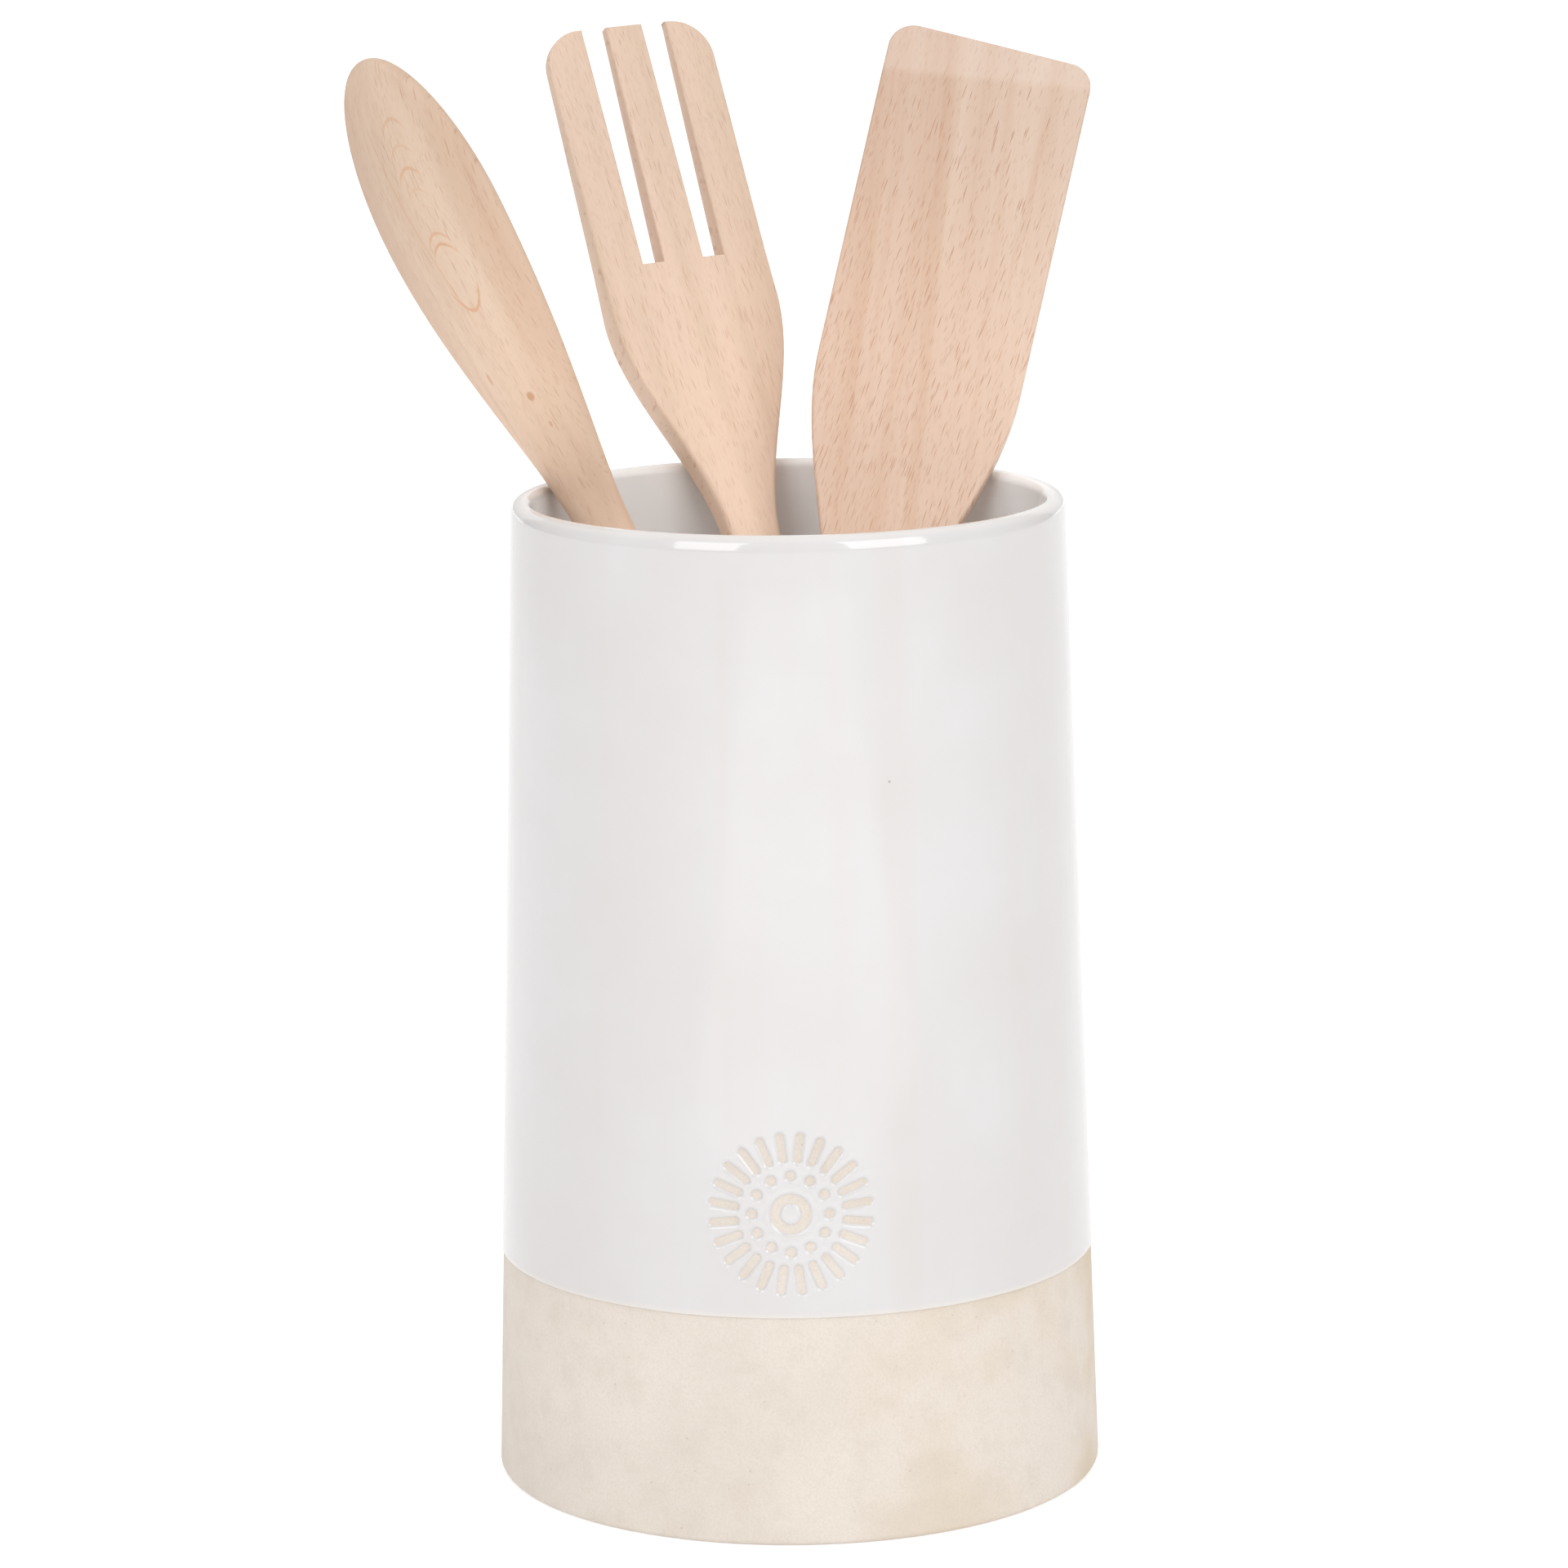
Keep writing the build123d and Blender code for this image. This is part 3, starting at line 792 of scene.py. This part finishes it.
# %% A small language for materials
class Wire:
    """An output socket that can be used in sums."""

    def __init__(self, paint, socket):
        self.paint = paint
        self.socket = socket

    def math(self, operation, first, second):
        """The Math node that works out an operation on two wires or numbers."""
        return self.paint.add("ShaderNodeMath", {"operation": operation}, {0: first, 1: second})

    def __add__(self, other):
        return self.math("ADD", self, other)

    def __radd__(self, other):
        return self.math("ADD", other, self)

    def __sub__(self, other):
        return self.math("SUBTRACT", self, other)

    def __mul__(self, other):
        return self.math("MULTIPLY", self, other)

    def __rmul__(self, other):
        return self.math("MULTIPLY", other, self)

    def __truediv__(self, other):
        return self.math("DIVIDE", self, other)

    def __pow__(self, other):
        return self.math("POWER", self, other)


class Paint:
    """A material being built, with its Principled shader."""

    def __init__(self, name, **settings):
        self.material = bpy.data.materials.new(name)
        self.material.use_nodes = True
        self.tree = self.material.node_tree
        self.shader = self.tree.nodes["Principled BSDF"]
        for socket, value in settings.items():
            self.shader.inputs[socket.replace("_", " ")].default_value = value

    def add(self, kind, settings, inputs, output=0):
        """A node of a kind: its settings first, then its sockets, each a value or a wire."""
        node = self.tree.nodes.new(kind)
        for key, value in settings.items():
            setattr(node, key, value)
        for key, value in inputs.items():
            if isinstance(value, Wire):
                self.tree.links.new(value.socket, node.inputs[key])
            else:
                node.inputs[key].default_value = value
        return Wire(self, node.outputs[output])

    def parts(self, vector):
        """The three numbers of a vector, a wire each."""
        split = self.add("ShaderNodeSeparateXYZ", {}, {0: vector})
        return [Wire(self, output) for output in split.socket.node.outputs]

    def feed(self, socket, wire):
        """Joins a wire to one of the shader's own sockets."""
        self.tree.links.new(wire.socket, self.shader.inputs[socket])

    def scaled(self, vector, factors):
        """A vector stretched along each axis."""
        return self.add("ShaderNodeVectorMath", {"operation": "MULTIPLY"}, {0: vector, 1: factors})

    def moved(self, vector, offset):
        """A vector shifted by an offset."""
        return self.add("ShaderNodeVectorMath", {"operation": "ADD"}, {0: vector, 1: offset})

    def noise(self, vector, scale, detail=2.0, roughness=0.5):
        """Soft clouds between 0 and 1 at a place."""
        inputs = {"Vector": vector, "Scale": scale, "Detail": detail, "Roughness": roughness}
        return self.add("ShaderNodeTexNoise", {}, inputs)

    def step(self, value, low, high, out_low=0.0, out_high=1.0):
        """Climbs smoothly from out_low at low to out_high at high."""
        settings = {"interpolation_type": "SMOOTHSTEP"}
        inputs = {0: value, 1: low, 2: high, 3: out_low, 4: out_high}
        return self.add("ShaderNodeMapRange", settings, inputs)

    def mix(self, share, first, second):
        """A colour between two others."""
        return self.add("ShaderNodeMix", {"data_type": "RGBA"}, {0: share, 6: first, 7: second}, 2)

    def bump(self, height, depth):
        """A normal bent by a height; the depth is in metres."""
        inputs = {"Height": height, "Distance": depth, "Strength": 1.0}
        return self.add("ShaderNodeBump", {}, inputs)


def colour(red, green, blue):
    """A linear colour from the 0 to 255 numbers of a picture, by the sRGB curve."""
    share = np.array([red, green, blue]) / 255
    linear = np.where(share <= 0.04045, share / 12.92, ((share + 0.055) / 1.055) ** 2.4)
    return (*linear.tolist(), 1.0)


# %% [markdown]
# Bare stoneware. Fired clay is matt and warm, and its colour is made warmer towards its right
# side. It has a very fine grain that can be felt, cloudy patches where it was handled or got
# hotter in the kiln, and a few darker specks of iron.

# %% Clay
MILLIMETRES = (1 / MM, 1 / MM, 1 / MM)
CLAY_COOL, CLAY_WARM = (210, 201, 191), (205, 189, 166)
CLAY_CLOUD, CLAY_MOTTLE = (215, 206, 196), (198, 186, 174)
CLAY_GRAIN, IRON_SPECK = (192, 178, 164), (165, 140, 118)
WARM_FROM, WARM_TO = -5.0, 52.0
GRAIN_DEPTH = 0.00004


def clay_paint():
    """Fine grain and slow clouds between two beiges, a warm side, specks, and a gritty bump."""
    paint = Paint("bare_clay", Roughness=0.86, IOR=1.45)
    place = paint.add("ShaderNodeTexCoord", {}, {}, "Object")
    place = paint.scaled(place, MILLIMETRES)
    clouds = paint.noise(place, 0.035, 3.0)
    patches = paint.noise(place, 0.16, 4.0, 0.6)
    grain = paint.noise(place, 2.4, 3.0, 0.65)
    across = paint.parts(place)[0]
    # The colour is made warmer towards the right side; this is a colour gradient, not light.
    warm_side = paint.step(across, WARM_FROM, WARM_TO)
    tone = paint.mix(warm_side, colour(*CLAY_COOL), colour(*CLAY_WARM))
    cloudy = paint.mix(paint.step(clouds, 0.35, 0.65), tone, colour(*CLAY_CLOUD))
    mottled = paint.mix(paint.step(patches, 0.42, 0.75) * 0.35, cloudy, colour(*CLAY_MOTTLE))
    fine = paint.mix(paint.step(grain, 0.35, 0.75) * 0.3, mottled, colour(*CLAY_GRAIN))
    cells = paint.add("ShaderNodeTexVoronoi", {}, {"Vector": place, "Scale": 0.42}, "Distance")
    specks = paint.step(cells, 0.11, 0.05) * paint.step(patches, 0.45, 0.6)
    speckled = paint.mix(specks * 0.35, fine, colour(*IRON_SPECK))
    paint.feed("Base Color", speckled)
    paint.feed("Roughness", 0.82 + 0.1 * grain)
    paint.feed("Normal", paint.bump(grain + 0.6 * paint.noise(place, 5.5, 2.0), GRAIN_DEPTH))
    return paint.material


# %% [markdown]
# White glaze. It is glass over clay: smooth, bright, with slow clouds, and here and there a speck
# that came through in the kiln. Long upright streaks of the faintest deeper tone are painted shade,
# for the slight upright undulations where it ran thicker or thinner. Over the arris of the rim and
# at the dip line it is thin, and the clay warms it.
# The inside is painted paler, to make up for the light that is lost in there.

# %% Glaze
GLAZE_WHITES = (202, 199, 198), (206, 204, 204)
GLAZE_RUN_SHADE, GLAZE_INSIDE = (200, 194, 190), (244, 244, 244)
GLAZE_THIN, GLAZE_SPECK = (220, 211, 201), (150, 138, 126)
RUN_STRETCH = (0.11, 0.11, 0.004)
THIN_BAND = 1.2
RIPPLE_DEPTH = 0.00004


def glaze_paint():
    """Nearly even white, warmer where thin, with rare specks and a slow, slight unevenness."""
    paint = Paint("white_glaze", Roughness=0.1, IOR=1.52, Coat_Weight=0.0)
    place = paint.add("ShaderNodeTexCoord", {}, {}, "Object")
    place = paint.scaled(place, MILLIMETRES)
    clouds = paint.noise(place, 0.03, 3.0)
    across, depth, height = paint.parts(place)
    off_wall = (across * across + depth * depth) ** 0.5 + SLOPE * height
    inside = paint.step(off_wall, FOOT_RADIUS - 0.8, FOOT_RADIUS - 2.8)
    outer = paint.mix(paint.step(clouds, 0.3, 0.7), *[colour(*white) for white in GLAZE_WHITES])
    # Painted shade: faint upright streaks of deeper tone, for the undulations where the glaze ran.
    runs = paint.noise(paint.scaled(place, RUN_STRETCH), 1.0, 2.0)
    outer = paint.mix(paint.step(runs, 0.45, 0.7) * 0.28, outer, colour(*GLAZE_RUN_SHADE))
    tone = paint.mix(inside, outer, colour(*GLAZE_INSIDE))
    near_dip = paint.step(height, DIP_LINE + THIN_BAND, DIP_LINE) * 0.5
    thin_rim = paint.step(height, POT_HEIGHT - THIN_BAND, POT_HEIGHT + 0.2) * 0.25
    warmed = paint.mix(near_dip + thin_rim, tone, colour(*GLAZE_THIN))
    cells = paint.add("ShaderNodeTexVoronoi", {}, {"Vector": place, "Scale": 0.045}, "Distance")
    specks = paint.step(cells, 0.016, 0.009)
    specked = paint.mix(specks * 0.6, warmed, colour(*GLAZE_SPECK))
    paint.feed("Base Color", specked)
    haze = paint.noise(place, 0.5, 3.0)
    paint.feed("Roughness", 0.05 + 0.04 * haze)
    ripple = paint.noise(place, 0.12, 2.0)
    paint.feed("Normal", paint.bump(ripple, RIPPLE_DEPTH))
    return paint.material


clay_finish = clay_paint()
glaze_finish = glaze_paint()
clay.data.materials.append(clay_finish)
glaze.data.materials.append(glaze_finish)

# %% [markdown]
# Beech. Its marks are many but faint: short brown dashes along the grain, which are the ends of
# the rays, finer ones between them, fibres that only just show, and long soft bands of pinker or
# paler wood. All of it is one solid pattern in the piece's own coordinates, kept in its grain
# attribute, so it runs through the wood. A piece is never sawn quite true: its dashes lean one
# way and its bands may lean the other. The wood is painted a little deeper at the head and paler
# towards the neck, to even out the light that falls on it.
#
# A layer of dashes has its stretch, in cells to the millimetre across, through and along the
# wood, then how far a dash reaches from the middle of its cell, where it is full, its strength
# and the share of cells left out.

# %% Wood
DASH_LAYERS = (
    ((3.3, 0.22, 0.22), 0.37, 0.14, 0.56, 0.14),
    ((4.2, 0.4, 0.42), 0.38, 0.12, 0.36, 0.0),
)
DASH_BROWN, FIBRE_BROWN = (168, 118, 88), (206, 168, 141)
PALER_FROM, PALER_TO = 252, 172
WOOD_RELIEF = 0.00003


def beech_paint(name, pale, deep, shift, leans, marked, lightness, figure=None):
    """Bands and fibres along the grain, two layers of dashes, and a figure of the piece's own.

    shift picks a place in the pattern, leans tilt the dashes and the bands, marked scales the
    dashes' strength, and lightness runs from the head to the neck. Dashes are the middles of
    stretched cells, thin and a few millimetres long; a chance drawn for each cell leaves some
    out and varies their size. A figure returns how deep the colour is at each place, and lines.
    """
    paint = Paint(name, Roughness=0.55, IOR=1.45)
    grain = paint.add("ShaderNodeAttribute", {"attribute_name": "grain"}, {}, "Vector")
    across, depth, along = paint.parts(grain)
    wander = paint.noise(paint.scaled(grain, (0.05, 0.05, 0.018)), 1.0, 1.0)
    leaned, banded = [
        paint.moved(paint.add("ShaderNodeCombineXYZ", {}, {
            0: across + tilt * along + 2.0 * wander, 1: depth, 2: along,
        }), shift) for tilt in leans
    ]
    bands = paint.noise(paint.scaled(banded, (0.13, 0.13, 0.006)), 1.0, 3.0)
    rings = paint.noise(paint.scaled(banded, (0.55, 0.2, 0.008)), 1.0, 2.0)
    fibres = paint.noise(paint.scaled(leaned, (3.4, 3.4, 0.12)), 1.0, 3.0)
    deepness = paint.step(bands, 0.36, 0.66) * 0.4 + paint.step(rings, 0.45, 0.7) * 0.25
    lines = ()
    if figure:
        own_share, lines = figure(paint, across, along)
        deepness = deepness + own_share
    base = paint.mix(deepness, colour(*pale), colour(*deep))
    tone = paint.mix(paint.step(fibres, 0.4, 0.75) * 0.2, base, colour(*FIBRE_BROWN))
    relief = 0.5 * fibres
    for stretch, outer, inner, strength, rarity in DASH_LAYERS:
        cells = {"Vector": paint.scaled(leaned, stretch), "Scale": 1.0, "Randomness": 1.0}
        distance = paint.add("ShaderNodeTexVoronoi", {}, cells, "Distance")
        chance, size, _ = paint.parts(paint.add("ShaderNodeTexVoronoi", {}, cells, "Color"))
        dash = paint.step(distance / (0.5 + 0.7 * size), outer, inner)
        dash = dash * paint.step(chance, rarity, rarity + 0.5)
        tone = paint.mix(dash * (strength * marked), tone, colour(*DASH_BROWN))
        relief = relief - 0.8 * dash
    for share, shade in lines:
        tone = paint.mix(share, tone, shade)
    paler = paint.step(along, PALER_FROM, PALER_TO, *lightness)
    tone = paint.add("ShaderNodeVectorMath", {"operation": "SCALE"}, {0: tone, "Scale": paler})
    paint.feed("Base Color", tone)
    paint.feed("Roughness", 0.5 + 0.12 * fibres)
    paint.feed("Normal", paint.bump(relief, WOOD_RELIEF))
    return paint.material


# %% [markdown]
# The figures. The spoon's back was carved through the year rings near their middle. There they
# show as a ladder of small arcs beside its ridge, each a thin line where the height, bent by the
# square of the width, meets its place. Round the ladder an oval is left paler, and outside it, on
# the flanks and down the neck, the wood is painted deeper: painted shade where the back turns away
# and where the rim shades it. A thin line of painted shade runs down the ridge, where its facet
# edge turns. A few brown flecks sit lower down. The spatula's blade is deeper on one side of a
# slanting streak, and its bevel, which cuts across the fibres, looks paler.

# %% Figures
OVAL_PLACE, OVAL_SIZE = (-0.5, 234), (7.5, 38)
ARC_MIDDLE = -3.0
ARC_BEND, LAST_BEND = 0.42, 0.55
ARC_WIDTH = 0.42
SPOON_ARCS = (
    (252.2, 0.45), (247.6, 0.25), (243.6, 0.6), (239.8, 0.25), (231.6, 0.6), (229.6, 0.75),
)
SPOON_LAST_ARC = 216.9
RUNG_TURN = 2.9
LADDER_TOP = (256.0, 250.0)
RIDGE_PLACE, RIDGE_START, RIDGE_LEAN = -1.2, 219.7, 0.12
ARC_BROWN, FLECK_BROWN, BEVEL_PALE = (200, 152, 118), (176, 124, 88), (222, 203, 189)
FLECKS = (
    (2.3, 204.7, 0.5, 1.5, 0.5),
    (-3.7, 199.4, 0.75, 1.1, 0.7),
    (-4.2, 193.6, 0.3, 0.7, 0.5),
)
STREAK_PLACE, STREAK_START, STREAK_LEAN = -2.2, 220, 0.128
SECOND_STREAK = 12.1


def near(paint, value, width):
    """1 where a value is close to nought, falling away to 0 at the width."""
    return paint.step(value * value, width * width, 0.06 * width * width)


def spoon_figure(paint, across, along):
    """Painted shade outside a paler oval, the ladder of arcs, a painted shade line on the ridge,
    flecks.
    """
    aside, above = [
        (value - place) / size
        for value, place, size in zip((across, along), OVAL_PLACE, OVAL_SIZE)
    ]
    # Painted shade: outside the oval, on the flanks and down the neck, the wood is made deeper.
    flank_shade = paint.step(aside * aside + above * above, 0.5, 1.4) * 0.35
    off_middle = (across - ARC_MIDDLE) * (across - ARC_MIDDLE)
    bent = along + ARC_BEND * off_middle
    mask = paint.step(off_middle, 7.0, 1.5)
    brown = colour(*ARC_BROWN)
    lines = [
        (near(paint, bent - place, ARC_WIDTH) * mask * weight, brown)
        for place, weight in SPOON_ARCS
    ]
    rung = paint.add("ShaderNodeMath", {"operation": "SINE"}, {0: bent * RUNG_TURN})
    in_ladder = paint.step(along, 222.0, 228.0) * paint.step(along, *LADDER_TOP)
    lines.append((paint.step(rung, 0.4, 1.0) * mask * in_ladder * 0.08, brown))
    last = along - LAST_BEND * off_middle - SPOON_LAST_ARC
    lines.append((near(paint, last, 0.5) * paint.step(off_middle, 9.0, 5.0) * 0.8, brown))
    # Painted shade: a thin brown line down the ridge, where its facet edge turns.
    ridge = across - RIDGE_PLACE - RIDGE_LEAN * (along - RIDGE_START)
    on_ridge = paint.step(along, 212.0, 220.0) * paint.step(along, *LADDER_TOP)
    lines.append((near(paint, ridge, 0.32) * on_ridge * 0.3, brown))
    for place, height, half, reach, weight in FLECKS:
        beside, beyond = (across - place) / half, (along - height) / reach
        spot = paint.step(beside * beside + beyond * beyond, 1.0, 0.2)
        lines.append((spot * weight, colour(*FLECK_BROWN)))
    return flank_shade, lines


def spatula_figure(paint, across, along):
    """A deeper left part, the streak beside it, a second streak and the paler bevel."""
    off_streak = across + STREAK_LEAN * (along - STREAK_START) - STREAK_PLACE
    left = paint.step(off_streak, 4.0, -3.0) * 0.4
    streak = near(paint, off_streak, 1.6) * 0.25
    second = near(paint, across - SECOND_STREAK, 0.9) * paint.step(along, 212.0, 226.0)
    second = second * paint.step(along, 250.0, 244.0) * 0.3
    foot = SPATULA_LENGTH - BEVEL_FOOT_MIDDLE + BEVEL_FOOT_LEAN * across
    bevel = paint.step(along - foot, -0.8, 1.2)
    return left + streak + second, [(bevel * 0.3, colour(*BEVEL_PALE))]


WOODS = (
    (spoon_piece, "beech_spoon", dict(
        pale=(210, 185, 163), deep=(195, 164, 140), shift=(13.0, 4.0, 31.0),
        leans=(0.02, 0.02), marked=0.65, lightness=(0.88, 1.24), figure=spoon_figure,
    )),
    (fork_piece, "beech_fork", dict(
        pale=(216, 190, 170), deep=(201, 176, 153), shift=(71.0, 9.0, 5.0),
        leans=(0.08, 0.02), marked=0.65, lightness=(0.93, 1.22),
    )),
    (spatula_piece, "beech_spatula", dict(
        pale=(206, 183, 165), deep=(192, 159, 136), shift=(37.0, 2.0, 77.0),
        leans=(-0.11, 0.10), marked=1.15, lightness=(0.92, 1.22), figure=spatula_figure,
    )),
)
for piece, name, wood in WOODS:
    piece.data.materials.append(beech_paint(name, **wood))

# %% [markdown]
# Each surface now takes the place of its node and moves with its body.

# %% Join the pieces to the model
PLACES = (
    (clay, "clay_body", "crock", "clay"),
    (glaze, "glaze_coat", "crock", "glaze"),
    (spoon_piece, "spoon", "spoon", "spoon_wood"),
    (fork_piece, "fork", "fork", "fork_wood"),
    (spatula_piece, "spatula", "spatula", "spatula_wood"),
)
for piece, node, body, slot in PLACES:
    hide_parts(node)
    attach(piece, body)
    print(piece.name, "stands for", node, "and rides on", body)

# %% [markdown]
# The studio. The picture is high key: a white floor that glows a little, and white all round,
# brighter overhead. Two windows stand in front, left and right. Each is a bright pane that only
# reflections see, which makes a dash on the front of the rim, and a softer fill, closer to the
# middle, that lights the matt surfaces. A white sheet lies on the table in front of the pot, and
# the glaze shows it as one upright band that widens downwards. A card behind keeps the far side of
# the rim pale. Sheet and card are lamps that only reflections see.

# %% Floor, lights and world
FLOOR_REACH = 14.0
FLOOR_GREY, FLOOR_GLOW = 0.78, 0.32
WHITE = (1.0, 1.0, 1.0, 1.0)
POT_RIM_MIDDLE = (0, 0, 0.17)
SHEET_PLACE, SHEET_TARGET = (0.0475, -0.625, 0.0376), (0.0475, -0.49, 1.0376)
SHEET_SIZE, SHEET_RADIANCE = (0.645, 0.575), 0.6
WINDOWS = (("left", (-0.67, -1.0, 0.68), 0.62, 1.95), ("right", (0.8, -0.93, 0.68), 0.8, 1.72))
WINDOW_HEIGHT = 0.82
PANE_RADIANCE = 4.2
FILL_INWARD = 0.75
CARD_PLACE, CARD_SIZE, CARD_RADIANCE = (0.0, 2.0, 0.7), (3.6, 1.3), 0.55
WORLD_LEVEL = 0.2
WORLD_LOBES = (("Z", 1.0, 1.2), ("X", -1.0, 0.1), ("X", 1.0, 0.15))


def floor():
    """A flat pale square, wide enough to fill the frame to the far edge."""
    corners = np.array([(-1, -1, 0), (1, -1, 0), (1, 1, 0), (-1, 1, 0)], float)
    mesh = bpy.data.meshes.new("floor")
    mesh.from_pydata((corners * FLOOR_REACH).tolist(), [], [(0, 1, 2, 3)])
    ground = bpy.data.objects.new("floor", mesh)
    bpy.context.collection.objects.link(ground)
    grey = (FLOOR_GREY, FLOOR_GREY, FLOOR_GREY, 1.0)
    paint = Paint("pale_floor", Base_Color=grey, Roughness=0.95,
                  Emission_Color=WHITE, Emission_Strength=FLOOR_GLOW)
    mesh.materials.append(paint.material)


def soft_box(name, place, target, size, radiance):
    """A rectangular lamp facing a target; a lamp's power is pi times its area and radiance."""
    width, height = size
    lamp = bpy.data.lights.new(name, "AREA")
    lamp.shape = "RECTANGLE"
    lamp.size = width
    lamp.size_y = height
    lamp.energy = np.pi * width * height * radiance
    box = bpy.data.objects.new(name, lamp)
    toward = Vector(target) - Vector(place)
    turn = toward.to_track_quat("-Z", "Y").to_matrix().to_4x4()
    box.matrix_world = Matrix.Translation(place) @ turn
    box.visible_camera = False
    bpy.context.collection.objects.link(box)
    return box


def white_room(level, lobes):
    """A world of one level and lobes over it, each growing from the horizon to its own axis.

    It lights the pot with those, and where it shows behind the pot it is plain white.
    """
    world = bpy.data.worlds.new("white_room")
    world.use_nodes = True
    tree = world.node_tree
    split = tree.nodes.new("ShaderNodeSeparateXYZ")
    tree.links.new(tree.nodes.new("ShaderNodeTexCoord").outputs["Generated"], split.inputs[0])
    light = tree.nodes["Background"]
    light.inputs["Color"].default_value = WHITE
    total = None
    low = level
    for axis, end, strength in lobes:
        lobe = tree.nodes.new("ShaderNodeMapRange")
        for key, value in {"From Max": end, "To Min": low, "To Max": low + strength}.items():
            lobe.inputs[key].default_value = value
        low = 0.0
        tree.links.new(split.outputs[axis], lobe.inputs["Value"])
        if total is not None:
            add = tree.nodes.new("ShaderNodeMath")
            tree.links.new(total, add.inputs[0])
            tree.links.new(lobe.outputs[0], add.inputs[1])
            lobe = add
        total = lobe.outputs[0]
    seen = tree.nodes.new("ShaderNodeMath")
    seen.operation = "MAXIMUM"
    tree.links.new(total, seen.inputs[0])
    tree.links.new(tree.nodes.new("ShaderNodeLightPath").outputs["Is Camera Ray"], seen.inputs[1])
    tree.links.new(seen.outputs[0], light.inputs["Strength"])
    return world


floor()
sheet = soft_box("table_sheet", SHEET_PLACE, SHEET_TARGET, SHEET_SIZE, SHEET_RADIANCE)
sheet.visible_diffuse = False
for side, place, width, radiance in WINDOWS:
    size = (width, WINDOW_HEIGHT)
    pane = soft_box("pane_" + side, place, POT_RIM_MIDDLE, size, PANE_RADIANCE)
    pane.visible_diffuse = False
    fill_place = (FILL_INWARD * place[0], place[1], place[2])
    fill = soft_box("fill_" + side, fill_place, POT_RIM_MIDDLE, size, radiance)
    fill.visible_glossy = False
card = soft_box("back_card", CARD_PLACE, POT_RIM_MIDDLE, CARD_SIZE, CARD_RADIANCE)
card.visible_diffuse = False
bpy.context.scene.world = white_room(WORLD_LEVEL, WORLD_LOBES)
bpy.context.scene.view_settings.view_transform = "Standard"
print(len(bpy.data.lights), "lamps")
